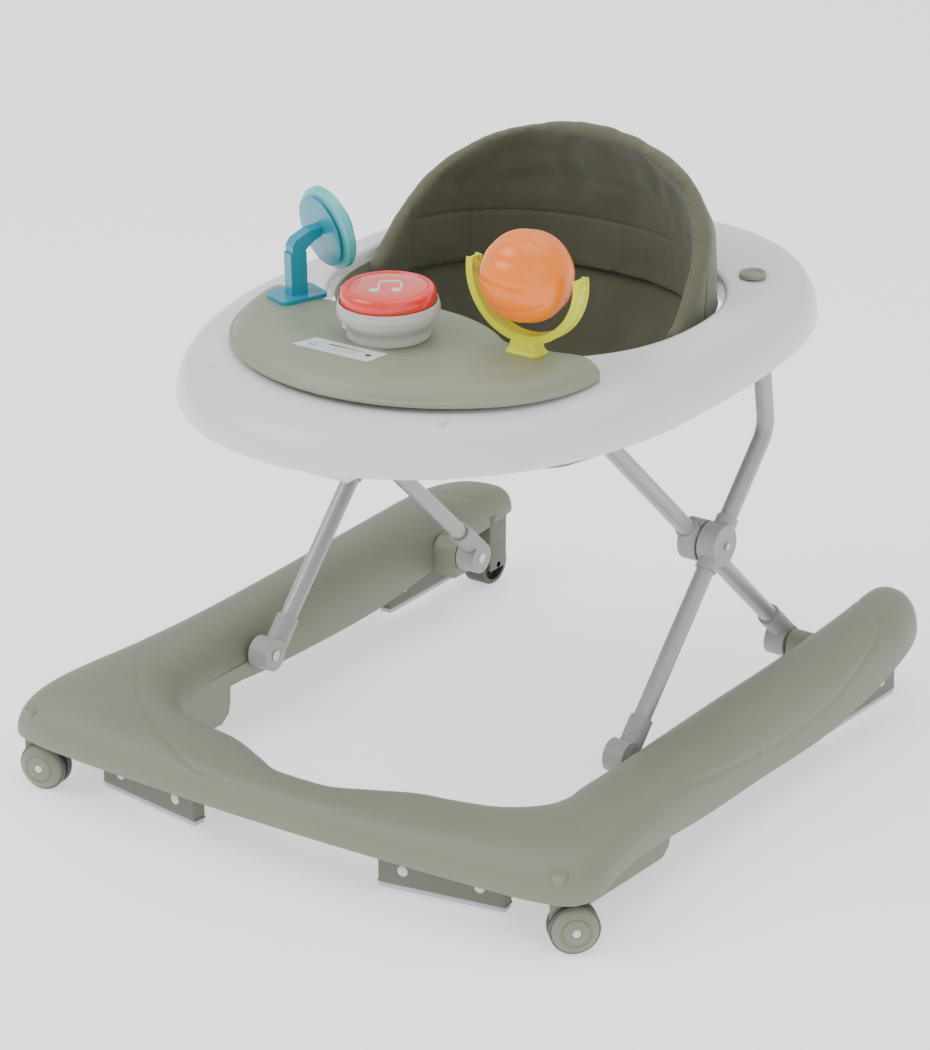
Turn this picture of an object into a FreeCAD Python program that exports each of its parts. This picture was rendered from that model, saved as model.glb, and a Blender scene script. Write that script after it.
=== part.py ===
import FreeCAD, Part
import math
import os
import Sketcher
from FreeCAD import Placement, Rotation, Vector

# Baby walker: a U-shaped wheeled base, two scissor legs, and a tray with a padded seat and a toy tray.
# Frame: millimetres, +X to the right seen from the front, +Y to the rear, +Z up, origin on the floor
# under the middle of the base. Left and right are as seen from the front.

doc = FreeCAD.newDocument("baby_walker")

# ------------------------------------------------------------------ driving dimensions

sheet = doc.addObject("Spreadsheet::Sheet", "Dims")
DIMENSIONS = {
    "wall": 3,
    "base_half_width": 308.5,
    "base_half_length": 336,
    "tube_radius": 8,
    "tube_wall": 1.2,
    "tube_bend": 40,
    "cross_y": 66.5,
    "cross_z": 217.7,
    "pin_height": 68,
    "foot_spread": 149.7,
    "slide_pin_x": 199.5,
    "slide_pin_length": 33,
    "rivet_length": 45,
    "front_leg_x": 194,
    "rear_leg_x": 173.5,
    "front_leg_angle": 43.1,
    "rear_leg_angle": 47.2,
    "front_foot_drop": 211.6,
    "rear_foot_drop": 211.5,
    "front_foot_offset": 7.0,
    "rear_foot_offset": 8.1,
    "pin_radius": 5,
    "running_gap": 0.05,
    "rivet_radius": 3,
    "clamp_radius": 19,
    "foot_radius": 15,
    "sleeve_radius": 10.5,
    "front_leg_bend_at": 116,
    "front_leg_top": 84,
    "rear_leg_length": 195,
    "tray_pivot_y": 134.2,
    "tray_pivot_z": 375.5,
    "slide_y": -113,
    "slide_z": 383.5,
    "slide_travel": 114,
    "track_x": 120,
    "tray_half_width": 232.5,
    "tray_mid_y": -41,
    "tray_front": 290,
    "tray_rear": 357,
    "tray_top": 423,
    "tray_slope": 0.03,
    "opening_mid_y": 50,
    "opening_half_width": 175,
    "opening_half_length": 160,
    "stopper_length": 120,
    "stopper_width": 14,
    "caster_x": 282.5,
    "caster_y": -309,
    "caster_radius": 22,
    "caster_trail": 12,
    "left_caster_heading": 10,
    "right_caster_heading": 45,
    "stem_radius": 4,
    "rear_wheel_x": 222,
    "rear_wheel_y": 305,
    "rear_wheel_radius": 21.5,
    "rear_wheel_width": 24,
    "axle_radius": 3,
    "drum_radius": 44.5,
    "drum_y": -155,
    "toy_x": 122,
    "toy_y": -124,
    "toy_tray_z": 423.3,
    "ball_radius": 41,
    "ball_height": 68,
    "mirror_radius": 38,
    "mirror_heading": 68,
    "mirror_tilt": 11,
}
for row, (alias, number) in enumerate(DIMENSIONS.items(), start=1):
    sheet.set(f"A{row}", alias)
    sheet.set(f"B{row}", str(number))
    sheet.setAlias(f"B{row}", alias)
doc.recompute()


class Size:
    """A number together with the sheet expression that gives it."""

    def __init__(self, value, text=None):
        self.value = float(value)
        self.text = text or f"({value})"

    def __add__(self, other):
        other = as_size(other)
        return Size(self.value + other.value, f"({self.text} + {other.text})")

    def __sub__(self, other):
        other = as_size(other)
        return Size(self.value - other.value, f"({self.text} - {other.text})")

    def __mul__(self, factor):
        factor = as_size(factor)
        return Size(self.value * factor.value, f"({self.text} * {factor.text})")

    def __neg__(self):
        return self * -1


def as_size(value):
    return value if isinstance(value, Size) else Size(value)


def dim(alias):
    return Size(getattr(sheet, alias), f"Dims.{alias}")


def mm(alias):
    return float(getattr(sheet, alias))


# ------------------------------------------------------------------ feature helpers

nodes = []


def node(thing, label, at=(0, 0, 0), turn=None):
    """Names a finished sub-part and puts it in its place."""
    thing.Label = label
    place = Placement(Vector(*[as_size(v).value for v in at]), turn or Rotation())
    thing.Placement = place
    for axis, value in zip("xyz", at):
        if isinstance(value, Size):
            thing.setExpression(f".Placement.Base.{axis}", value.text)
    nodes.append(thing)
    return thing


def new_body(name):
    return doc.addObject("PartDesign::Body", name)


def new_sketch(body, plane, start=0):
    """An empty sketch on one of the body's own origin planes, moved along the plane's normal by start."""
    sketch = body.newObject("Sketcher::SketchObject", f"{body.Name}_sketch")
    support = [f for f in body.Origin.OriginFeatures if f.Role == f"{plane}_Plane"][0]
    sketch.AttachmentSupport = [(support, "")]
    sketch.MapMode = "FlatFace"
    start = as_size(start)
    sketch.AttachmentOffset = Placement(Vector(0, 0, start.value), Rotation())
    sketch.setExpression(".AttachmentOffset.Base.z", start.text)
    return sketch


def bind(sketch, kind, *parts):
    """Adds one dimension to a sketch and ties it to its sheet expression."""
    *where, size = parts
    size = as_size(size)
    index = sketch.addConstraint(Sketcher.Constraint(kind, *where, size.value))
    sketch.setExpression(f"Constraints[{index}]", size.text)


def draw_outline(sketch, points):
    """A closed outline of straight edges through the points, each point dimensioned from the origin."""
    points = [(as_size(a), as_size(b)) for a, b in points]
    corners = [Vector(a.value, b.value, 0) for a, b in points]
    first = sketch.GeometryCount
    count = len(corners)
    for i in range(count):
        sketch.addGeometry(Part.LineSegment(corners[i], corners[(i + 1) % count]))
    for i in range(count):
        sketch.addConstraint(Sketcher.Constraint("Coincident", first + i, 2, first + (i + 1) % count, 1))
    for i, (a, b) in enumerate(points):
        bind(sketch, "DistanceX", -1, 1, first + i, 1, a)
        bind(sketch, "DistanceY", -1, 1, first + i, 1, b)


def draw_circle(sketch, centre, radius):
    centre = (as_size(centre[0]), as_size(centre[1]))
    radius = as_size(radius)
    middle = Vector(centre[0].value, centre[1].value, 0)
    circle = sketch.addGeometry(Part.Circle(middle, Vector(0, 0, 1), radius.value))
    bind(sketch, "DistanceX", -1, 1, circle, 3, centre[0])
    bind(sketch, "DistanceY", -1, 1, circle, 3, centre[1])
    bind(sketch, "Radius", circle, radius)


def draw_runs(sketch, runs):
    """A closed outline of straight runs (two points) and arcs (three points), each corner dimensioned."""
    ends = []
    for run in runs:
        points = [Vector(x, y, 0) for x, y in run]
        edge = Part.Arc(*points) if len(run) == 3 else Part.LineSegment(*points)
        index = sketch.addGeometry(edge)
        # An arc is stored counter-clockwise, so its first point may be its stored end.
        swapped = (sketch.getPoint(index, 1) - points[0]).Length > 1e-6
        ends.append((index, 2 if swapped else 1, 1 if swapped else 2))
    for i, run in enumerate(runs):
        index, first, last = ends[i]
        next_index, next_first, _ = ends[(i + 1) % len(runs)]
        sketch.addConstraint(Sketcher.Constraint("Coincident", index, last, next_index, next_first))
        bind(sketch, "DistanceX", -1, 1, index, first, run[0][0])
        bind(sketch, "DistanceY", -1, 1, index, first, run[0][1])
        if len(run) == 3:
            bind(sketch, "Radius", index, sketch.Geometry[index].Radius)


def box_points(low, high):
    return [(low[0], low[1]), (high[0], low[1]), (high[0], high[1]), (low[0], high[1])]


def pad(body, plane, length, start=0, outline=None, circles=(), symmetric=False):
    sketch = new_sketch(body, plane, start)
    if outline:
        draw_outline(sketch, outline)
    for centre, radius in circles:
        draw_circle(sketch, centre, radius)
    feature = body.newObject("PartDesign::Pad", f"{body.Name}_pad")
    feature.Profile = sketch
    feature.Midplane = symmetric
    feature.setExpression("Length", as_size(length).text)
    return feature


def pocket(body, plane, length, start=0, outline=None, circles=(), symmetric=False):
    """Cuts along the plane's normal from start, or both ways from it when symmetric."""
    sketch = new_sketch(body, plane, start)
    if outline:
        draw_outline(sketch, outline)
    for centre, radius in circles:
        draw_circle(sketch, centre, radius)
    doc.recompute()
    before = body.Shape.Volume
    feature = body.newObject("PartDesign::Pocket", f"{body.Name}_pocket")
    feature.Profile = sketch
    feature.Midplane = symmetric
    feature.Reversed = not symmetric
    feature.setExpression("Length", as_size(length).text)
    doc.recompute()
    if body.Shape.Volume >= before - 1e-6:
        raise RuntimeError(f"{feature.Name} cuts nothing")
    return feature


def turned(body, outline, plane="XZ", groove=False):
    """Turns an outline of (radius, height) points about the body's own Z axis."""
    sketch = new_sketch(body, plane)
    draw_outline(sketch, outline)
    kind = "PartDesign::Groove" if groove else "PartDesign::Revolution"
    feature = body.newObject(kind, f"{body.Name}_turn")
    feature.Profile = sketch
    feature.ReferenceAxis = (sketch, ["V_Axis"])
    feature.Angle = 360
    return feature


def round_edges(body, radius, chosen):
    """Fillets the edges of the body's last feature that the test picks."""
    doc.recompute()
    base = body.Tip
    names = [f"Edge{i + 1}" for i, edge in enumerate(base.Shape.Edges) if chosen(edge)]
    feature = body.newObject("PartDesign::Fillet", f"{body.Name}_round")
    feature.Base = (base, names)
    feature.setExpression("Radius", as_size(radius).text)
    return feature


def pin_group(label, centres, radius, length, axis=Vector(1, 0, 0)):
    """Identical round pins in one node, each centred on its own point, along one axis."""
    radius = as_size(radius)
    length = as_size(length)
    pins = []
    for number, centre in enumerate(centres):
        pin = doc.addObject("Part::Cylinder", f"{label}_{number}")
        pin.setExpression("Radius", radius.text)
        pin.setExpression("Height", length.text)
        start = Vector(*[as_size(v).value for v in centre]) - axis * (length.value / 2)
        pin.Placement = Placement(start, Rotation(Vector(0, 0, 1), axis))
        pins.append(pin)
    group = doc.addObject("Part::Compound", f"{label}_group")
    group.Links = pins
    return node(group, label)


def solid_feature(label, shape):
    feature = doc.addObject("Part::Feature", label)
    feature.Shape = shape
    return node(feature, label)


def tipped(angle):
    """A turn about +X."""
    return Rotation(Vector(1, 0, 0), angle)


SIDES = (("left", -1), ("right", 1))

# ------------------------------------------------------------------ base

# Half of the U, from the middle of the front to the tip of the arm:
# outer x, outer y, inner x, inner y, lower edge z, crown z.
BASE_STATIONS = (
    (40, -335.5, 30, -274.5, 47, 74),
    (80, -334.6, 60, -259, 47, 75),
    (125, -333.2, 95, -242.5, 47, 77),
    (170, -331.2, 130, -237.5, 47, 79),
    (225, -328, 162, -230, 47, 81),
    (268, -323.5, 184, -216, 47, 83),
    (298, -312.5, 197.5, -201, 47, 85),
    (308.5, -290, 203.5, -185, 49, 86),
    (306.5, -248, 205.5, -170, 57, 87),
    (300, -190, 206, -145, 54, 88),
    (293, -105, 206, -95, 45, 90.5),
    (288, 0, 207, 0, 41, 94),
    (286.5, 110, 210, 110, 40, 98),
    (285, 195, 210.5, 203, 48, 101),
    (283.5, 240, 209, 256, 57, 102),
    (279, 272, 206, 292, 63, 101),
    (269, 300, 204.5, 315, 67, 98),
    (252, 322, 206, 328, 69, 93),
    (233, 333.5, 212, 334, 71, 88),
)
# Control points of the section's arch: how far from the outer to the inner edge, and how high.
BASE_ARCH = (
    (0, 0), (0, 0.42), (0.01, 0.8), (0.16, 1.02), (0.5, 1.06), (0.84, 1.02), (0.99, 0.8), (1, 0.42), (1, 0),
)
BASE_NOMINAL = (308.5, 336)


def base_section(station, side, inset, drop):
    """One closed section of the U, made smaller by inset at its sides and top, and let down by drop."""
    outer_x, outer_y, inner_x, inner_y, low, top = station
    stretch_x = mm("base_half_width") / BASE_NOMINAL[0]
    stretch_y = mm("base_half_length") / BASE_NOMINAL[1]
    outer = Vector(side * outer_x * stretch_x, outer_y * stretch_y, 0)
    inner = Vector(side * inner_x * stretch_x, inner_y * stretch_y, 0)
    across = (inner - outer).normalize()
    outer = outer + across * inset
    inner = inner - across * inset
    low = low - drop
    height = top - inset - low
    poles = [outer + (inner - outer) * u + Vector(0, 0, low + height * h) for u, h in BASE_ARCH]
    arch = Part.BSplineCurve()
    arch.buildFromPoles(poles, False, 3)
    floor = Part.LineSegment(poles[-1], poles[0])
    return Part.Wire([arch.toShape(), floor.toShape()])


def even_stations(stations, spacing=18):
    """The same run of stations, read off smooth curves at an even spacing."""
    reach = [0.0]
    for before, after in zip(stations, stations[1:]):
        middles = [((s[0] + s[2]) / 2, (s[1] + s[3]) / 2) for s in (before, after)]
        reach.append(reach[-1] + math.dist(*middles))
    outer = Part.BSplineCurve()
    outer.interpolate(Points=[Vector(s[0], s[1], s[4]) for s in stations], Parameters=reach)
    inner = Part.BSplineCurve()
    inner.interpolate(Points=[Vector(s[2], s[3], s[5]) for s in stations], Parameters=reach)
    count = round(reach[-1] / spacing)
    rows = []
    for i in range(1, count + 1):
        along = reach[-1] * i / count
        edge = outer.value(along)
        lip = inner.value(along)
        rows.append((edge.x, edge.y, lip.x, lip.y, edge.z, lip.z))
    return rows


def base_loft(stations, inset, drop):
    middle = (0, -336, 0, -277, 47, 74)
    even = even_stations((middle, *stations))
    run = [(s, -1) for s in reversed(even)] + [(middle, 1)] + [(s, 1) for s in even]
    wires = [base_section(station, side, inset, drop) for station, side in run]
    return Part.makeLoft(wires, True, True)


def slot_cutter(side):
    """The long notch in the arm's inner wall that the front foot pin slides in."""
    low = Vector(196 if side > 0 else -216, -206, 30)
    return Part.makeBox(20, 156, 45, low)


def build_base_shell():
    outer = base_loft(BASE_STATIONS, 0, 0)
    inner = base_loft(BASE_STATIONS[:-1], mm("wall"), 8)
    shell = outer.cut(inner)
    for _, side in SIDES:
        shell = shell.cut(slot_cutter(side))
    solid_feature("base_shell", max(shell.Solids, key=lambda piece: piece.Volume))


def build_slide_rail(name, side):
    """The moulded rail along the arm's inner edge, with the deep block that closes the arm's underside."""
    body = new_body(f"{name}_slide_rail")
    inner = Size(206 * side)
    bar = [(-214, 47), (-42, 45), (-42, 61), (-214, 61)]
    pad(body, "YZ", 9, start=inner if side > 0 else inner - 9, outline=bar)
    block = [(-262, 26), (-252, 15), (-136, 13), (-126, 20), (-123, 30), (-122, 58), (-262, 58)]
    pad(body, "YZ", 66, start=inner if side > 0 else inner - 66, outline=block)
    hollow = [(-258, 13), (-128, 10), (-128, 54), (-258, 54)]
    pocket(body, "YZ", 57, start=(inner + 6) if side > 0 else inner - 63, outline=hollow)
    node(body, f"{name}_slide_rail")


def build_stopper(name, middle, heading, top, low, plate):
    """A holder for one anti-fall strip: a plate across the hollow base and a deep web below it."""
    body = new_body(name)
    half = dim("stopper_length") * 0.5
    pad(body, "YZ", dim("stopper_width"), outline=box_points((-half, low), (half, top)), symmetric=True)
    across = [(plate[0], -30), (plate[1], -30), (plate[1], 30), (plate[0], 30)]
    pad(body, "XY", 4, start=top - 4, outline=across)
    return node(body, name, at=(middle[0], middle[1], 0), turn=Rotation(Vector(0, 0, 1), heading))


# Name, middle of the strip, heading of its long side from +Y, top and bottom of the web, reach of the plate.
STOPPERS = (
    ("front_left_stopper", (-157, -296), 80.5, 62, 13.5, (-34, 36)),
    ("front_right_stopper", (157, -296), 99.5, 62, 13.5, (-36, 34)),
    ("rear_left_stopper", (-246, 229), 1, 74, 12.5, (-34, 33)),
    ("rear_right_stopper", (246, 229), -1, 74, 12.5, (-33, 34)),
)


def build_stoppers():
    strips = []
    pegs = []
    for name, middle, heading, top, low, plate in STOPPERS:
        build_stopper(name, middle, heading, top, low, plate)
        strip = doc.addObject("Part::Box", f"{name}_strip")
        strip.setExpression("Length", "Dims.stopper_width - 2")
        strip.setExpression("Width", "Dims.stopper_length - 4")
        strip.Height = 5
        turn = Rotation(Vector(0, 0, 1), heading)
        half_width = (mm("stopper_width") - 2) / 2
        half_length = (mm("stopper_length") - 4) / 2
        corner = Vector(middle[0], middle[1], low - 5) + turn.multVec(Vector(-half_width, -half_length, 0))
        strip.Placement = Placement(corner, turn)
        strips.append(strip)
        outward = 1 if middle[0] > 0 else -1
        face = outward * mm("stopper_width") / 2
        for along in (-36, 36):
            peg = doc.addObject("Part::Cylinder", f"{name}_peg")
            peg.Radius = 5
            peg.Height = 2
            foot = Vector(middle[0], middle[1], 28) + turn.multVec(Vector(face, along, 0))
            peg.Placement = Placement(foot, turn * Rotation(Vector(0, 0, 1), Vector(outward, 0, 0)))
            pegs.append(peg)
    for label, items in (("stopper_grips", strips), ("stopper_pegs", pegs)):
        group = doc.addObject("Part::Compound", f"{label}_group")
        group.Links = items
        node(group, label)


def build_rear_leg_mount(name, side):
    """A moulded lug on the arm's inner wall that the rear foot swings on."""
    body = new_body(f"{name}_rear_leg_mount")
    start = Size(186) if side > 0 else Size(-212)
    pad(body, "YZ", 26, start=start, circles=[((0, 0), 13)])
    pad(body, "YZ", 26, start=start, outline=box_points((-13, -22), (13, 0)))
    pocket(body, "YZ", 26, start=start, circles=[((0, 0), dim("pin_radius"))])
    node(body, f"{name}_rear_leg_mount", at=(0, dim("cross_y") + dim("foot_spread"), dim("pin_height")))


def build_rear_bracket(name, side):
    """The fork under the arm's tip that holds the fixed rear wheel."""
    body = new_body(f"{name}_rear_wheel_bracket")
    half = dim("rear_wheel_width") * 0.5
    ear = [(-14, 6), (-8, -8), (8, -8), (14, 6), (14, 54), (-14, 54)]
    gap = Size(1.5)
    thick = Size(3)
    pad(body, "YZ", thick, start=half + gap, outline=ear)
    pad(body, "YZ", thick, start=-(half + gap + thick), outline=ear)
    doc.recompute()
    inward = half + gap + thick
    pad(body, "XY", 4, start=50, outline=box_points((-inward, -14), (inward, 14)))
    pocket(body, "YZ", 60, circles=[((0, 0), dim("axle_radius"))], symmetric=True)
    at = (dim("rear_wheel_x") * side, dim("rear_wheel_y"), dim("rear_wheel_radius"))
    node(body, f"{name}_rear_wheel_bracket", at=at)


def build_rear_wheel(name, side):
    """A spoked rubber-tread wheel that turns on a fixed axle along X."""
    body = new_body(f"{name}_rear_wheel")
    radius = dim("rear_wheel_radius")
    half = dim("rear_wheel_width") * 0.5
    hub = dim("axle_radius") + dim("running_gap")
    section = [
        (hub, -half), (7, -half), (7, -5), (radius - 5, -5), (radius - 5, -half),
        (radius - 1.5, -half), (radius, -half + 2), (radius, half - 2), (radius - 1.5, half),
        (radius - 5, half), (radius - 5, 5), (7, 5), (7, half), (hub, half),
    ]
    turned(body, section)
    for step in range(5):
        angle = math.radians(72 * step)
        centre = (11.75 * math.cos(angle), 11.75 * math.sin(angle))
        pocket(body, "XY", 12, circles=[(centre, 2.8)], symmetric=True)
    at = (dim("rear_wheel_x") * side, dim("rear_wheel_y"), radius)
    node(body, f"{name}_rear_wheel", at=at, turn=Rotation(Vector(0, 1, 0), 90))


def build_caster_sockets():
    """Two tubes moulded under the front corners, open below, that the caster stems plug into."""
    sockets = []
    for name, side in SIDES:
        outer = doc.addObject("Part::Cylinder", f"{name}_socket_outer")
        outer.Radius = 7
        outer.Height = 25
        bore = doc.addObject("Part::Cylinder", f"{name}_socket_bore")
        bore.setExpression("Radius", "Dims.stem_radius + Dims.running_gap")
        bore.Height = 21
        socket = doc.addObject("Part::Cut", f"{name}_socket")
        socket.Base = outer
        socket.Tool = bore
        for thing in (outer, bore):
            thing.Placement.Base = Vector(side * mm("caster_x"), mm("caster_y"), 48)
        sockets.append(socket)
    group = doc.addObject("Part::Compound", "caster_socket_group")
    group.Links = sockets
    node(group, "caster_sockets")


def caster_turn(name):
    """The way a caster trails at rest."""
    return Rotation(Vector(0, 0, 1), mm(f"{name}_caster_heading"))


def caster_axle(name, side):
    """The middle of a caster's axle, behind its stem."""
    stem = Vector(side * mm("caster_x"), mm("caster_y"), mm("caster_radius"))
    return stem + caster_turn(name).multVec(Vector(mm("caster_trail"), 0, 0))


def build_caster(name, side):
    """A twin-cover caster: stem and fork in one moulding, a dark wheel, and a domed cover on each face."""
    radius = dim("caster_radius")
    trail = dim("caster_trail")
    turn = caster_turn(name)
    axle = tuple(caster_axle(name, side))
    fork = new_body(f"{name}_caster_fork")
    pad(fork, "XY", 24, start=44, circles=[((0, 0), dim("stem_radius"))])
    arm = [(-8, 30), (8, 30), (8, 44.3), (-8, 44.3)]
    pad(fork, "XZ", 4.4, outline=arm, symmetric=True)
    web = [(8, 44.3), (-8, 44.3), (-8, 30), (trail - 5, radius - 4), (trail + 5, radius - 4), (trail + 5, 40)]
    pad(fork, "XZ", 4, outline=web, symmetric=True)
    pad(fork, "XZ", 20, circles=[((trail, radius), 3)], symmetric=True)
    base = (dim("caster_x") * side, dim("caster_y"), 0)
    node(fork, f"{name}_caster_fork", at=base, turn=turn)

    facing = turn * Rotation(Vector(1, 0, 0), 90)
    wheel = new_body(f"{name}_caster_tyre")
    hub = Size(3) + dim("running_gap")
    # Two tyres on one hub, with a slot between them for the fork's web.
    for sign in (-1, 1):
        tyre = [
            (hub, 2.5 * sign), (radius - 1.5, 2.5 * sign), (radius, 4 * sign),
            (radius, 7.5 * sign), (radius - 1, 8.5 * sign), (hub, 8.5 * sign),
        ]
        tyre_body = wheel if sign < 0 else new_body(f"{name}_caster_tyre_outer")
        turned(tyre_body, tyre)
        if sign > 0:
            outer = tyre_body
    pair = doc.addObject("Part::Compound", f"{name}_caster_wheel_pair")
    pair.Links = [wheel, outer]
    node(pair, f"{name}_caster_wheel", at=axle, turn=facing)

    covers = []
    for sign in (-1, 1):
        cover = new_body(f"{name}_caster_cover")
        dome = [
            (0, 10.5 * sign), (0, 16 * sign), (6, 15.7 * sign), (13, 14 * sign),
            (18, 11.2 * sign), (20.5, 8.6 * sign), (12, 8.6 * sign), (8, 10.5 * sign),
        ]
        turned(cover, dome)
        covers.append(cover)
    group = doc.addObject("Part::Compound", f"{name}_caster_cover_pair")
    group.Links = covers
    node(group, f"{name}_caster_covers", at=axle, turn=facing)


# ------------------------------------------------------------------ legs


def cross_point(x):
    return (x, dim("cross_y"), dim("cross_z"))


def sweep(body, profile_start, spine, radius, hole):
    profile = new_sketch(body, "XY", profile_start)
    draw_circle(profile, (0, 0), radius)
    draw_circle(profile, (0, 0), hole)
    pipe = body.newObject("PartDesign::AdditivePipe", f"{body.Name}_pipe")
    pipe.Profile = profile
    pipe.Spine = spine
    return pipe


def bent_path(body, points, bend):
    """A spine of straight runs joined by tangent arcs in the body's XZ plane."""
    spine = new_sketch(body, "XZ")
    here = Vector(*points[0], 0)
    edges = []
    for i in range(1, len(points) - 1):
        corner = Vector(*points[i], 0)
        before = (corner - Vector(*points[i - 1], 0)).normalize()
        after = (Vector(*points[i + 1], 0) - corner).normalize()
        half = math.acos(max(-1, min(1, before.dot(after)))) / 2
        setback = bend * math.tan(half)
        enter = corner - before * setback
        leave = corner + after * setback
        inward = (after - before).normalize()
        crest = corner + inward * (bend / math.cos(half) - bend)
        edges.append(Part.LineSegment(here, enter))
        edges.append(Part.Arc(enter, crest, leave))
        here = leave
    edges.append(Part.LineSegment(here, Vector(*points[-1], 0)))
    for edge in edges:
        spine.addGeometry(edge)
    return spine


def build_front_leg(name):
    """Outer tube: from the sliding front foot up and back past the crossing, then up into the tray."""
    body = new_body(f"{name}_front_tube")
    foot = -(mm("front_foot_drop") - 14)
    bend_at = mm("front_leg_bend_at")
    rise = math.radians(mm("front_leg_angle") + 9)
    length = mm("front_leg_top")
    top = (length * math.sin(rise), bend_at + length * math.cos(rise))
    hinge = ((length - 10) * math.sin(rise), bend_at + (length - 10) * math.cos(rise))
    spine = bent_path(body, [(0, foot), (0, bend_at), top], 30)
    sweep(body, foot, spine, dim("tube_radius"), dim("tube_radius") - dim("tube_wall"))
    reach = dim("tube_radius") * 2 + 4
    loose = dim("rivet_radius") + dim("running_gap")
    pocket(body, "XZ", reach, circles=[((0, 0), dim("rivet_radius"))], symmetric=True)
    pocket(body, "XZ", reach, circles=[(hinge, loose)], symmetric=True)
    # The tube was drawn in the body's XZ plane, which is turned here to stand along the walker's side.
    turn = tipped(-mm("front_leg_angle")) * Rotation(Vector(0, 0, 1), -90)
    return body, turn


def build_clamp(label, x, angle, thickness, hole):
    """A round plastic boss gripping a leg tube at the crossing."""
    body = new_body(label)
    pad(body, "YZ", thickness, circles=[((0, 0), dim("clamp_radius"))], symmetric=True)
    grip = dim("tube_radius") + 1.9
    pad(body, "XY", 52, start=-26, circles=[((0, 0), grip)])
    pocket(body, "XY", 80, start=-40, circles=[((0, 0), dim("tube_radius") + dim("running_gap"))])
    pocket(body, "YZ", 60, circles=[((0, 0), hole)], symmetric=True)
    node(body, label, at=cross_point(x), turn=tipped(angle))


def build_foot(label, angle, offset, hole, at_foot):
    """The plastic end of a leg tube: a round knuckle about the foot pin and a sleeve over the tube."""
    body = new_body(label)
    pad(body, "YZ", 20, circles=[((0, 0), dim("foot_radius"))], symmetric=True)
    pad(body, "XY", 40, start=0, circles=[((0, offset), dim("sleeve_radius"))])
    pocket(body, "XY", 40, start=14, circles=[((0, offset), dim("tube_radius") + dim("running_gap"))])
    pocket(body, "YZ", 60, circles=[((0, 0), hole)], symmetric=True)
    node(body, label, at=at_foot, turn=tipped(angle))


def front_foot(x):
    return (x, dim("cross_y") - dim("foot_spread"), dim("pin_height"))


def rear_foot(x):
    return (x, dim("cross_y") + dim("foot_spread"), dim("pin_height"))


def build_front_legs():
    tight = dim("rivet_radius")
    for name, side in SIDES:
        body, turn = build_front_leg(name)
        x = dim("front_leg_x") * side
        node(body, f"{name}_front_leg", at=cross_point(x), turn=turn)
        angle = -mm("front_leg_angle")
        build_clamp(f"{name}_outer_pivot_clamp", x, angle, dim("tube_radius") * 2 + 2, tight)
        offset = dim("front_foot_offset")
        build_foot(f"{name}_front_foot", angle, offset, dim("pin_radius"), front_foot(x))
    rivet_x = (dim("front_leg_x") + dim("rear_leg_x")) * 0.5
    rivets = [cross_point(rivet_x * side) for _, side in SIDES]
    pin_group("pivot_rivets", rivets, dim("rivet_radius"), dim("rivet_length"))
    slides = [front_foot(dim("slide_pin_x") * side) for _, side in SIDES]
    pin_group("front_slide_pins", slides, dim("pin_radius"), dim("slide_pin_length"))


def build_rear_legs():
    body = new_body("rear_leg_frame")
    half = mm("rear_leg_x")
    foot = -(mm("rear_foot_drop") - 14)
    top = mm("rear_leg_length") + 49
    spine = bent_path(body, [(-half, foot), (-half, top), (half, top), (half, foot)], mm("tube_bend"))
    profile = new_sketch(body, "XY", foot)
    draw_circle(profile, (-dim("rear_leg_x"), 0), dim("tube_radius"))
    draw_circle(profile, (-dim("rear_leg_x"), 0), dim("tube_radius") - dim("tube_wall"))
    pipe = body.newObject("PartDesign::AdditivePipe", "rear_leg_pipe")
    pipe.Profile = profile
    pipe.Spine = spine
    doc.recompute()
    loose = dim("rivet_radius") + dim("running_gap")
    pocket(body, "YZ", 400, circles=[((0, 0), loose)], symmetric=True)
    angle = mm("rear_leg_angle")
    node(body, "rear_leg_frame", at=(0, dim("cross_y"), dim("cross_z")), turn=tipped(angle))
    for name, side in SIDES:
        x = dim("rear_leg_x") * side
        build_clamp(f"{name}_inner_pivot_clamp", x, angle, dim("tube_radius") * 2 + 1.6, loose)
        pin_hole = dim("pin_radius") + dim("running_gap")
        offset = dim("rear_foot_offset")
        build_foot(f"{name}_rear_foot", angle, offset, pin_hole, rear_foot(x))


# ------------------------------------------------------------------ tray


def egg(half_width, mid_y, front, rear, inset, height, slope, blunt=(2.2, 3.0)):
    """A closed egg curve, blunter at the rear, as one periodic spline."""
    points = []
    count = 40
    for i in range(count):
        angle = 2 * math.pi * i / count
        power = 2 / (blunt[1] if math.sin(angle) > 0 else blunt[0])
        reach = rear if math.sin(angle) > 0 else front
        x = math.copysign(abs(math.cos(angle)) ** power, math.cos(angle)) * (half_width - inset)
        y = mid_y + math.copysign(abs(math.sin(angle)) ** power, math.sin(angle)) * (reach - inset)
        points.append(Vector(x, y, height + slope * y))
    curve = Part.BSplineCurve()
    curve.interpolate(Points=points, PeriodicFlag=True)
    return Part.Wire([curve.toShape()])


# Middle of the right rear plug, level with the tray's top.
PLUG_AT = (154, 182, 429.6)


def tray_ring(inset, height, level):
    slope = mm("tray_slope") * level
    sizes = (mm("tray_half_width"), mm("tray_mid_y"), mm("tray_front"), mm("tray_rear"))
    return egg(*sizes, inset, height, slope)


# Inset from the widest outline and height below the crown, from the rim's lower edge up to the crown.
TRAY_PROFILE = (
    (4, 61, 0), (1, 54, 0.1), (0, 45, 0.3), (1.5, 33, 0.5), (6, 21, 0.7), (14, 11, 0.9), (27, 4, 1), (48, 0, 1),
)


def tray_solid(inset, drop):
    top = mm("tray_top") - drop
    rings = [tray_ring(edge + inset, top - below, level) for edge, below, level in TRAY_PROFILE]
    return Part.makeLoft(rings, True, False)


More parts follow.
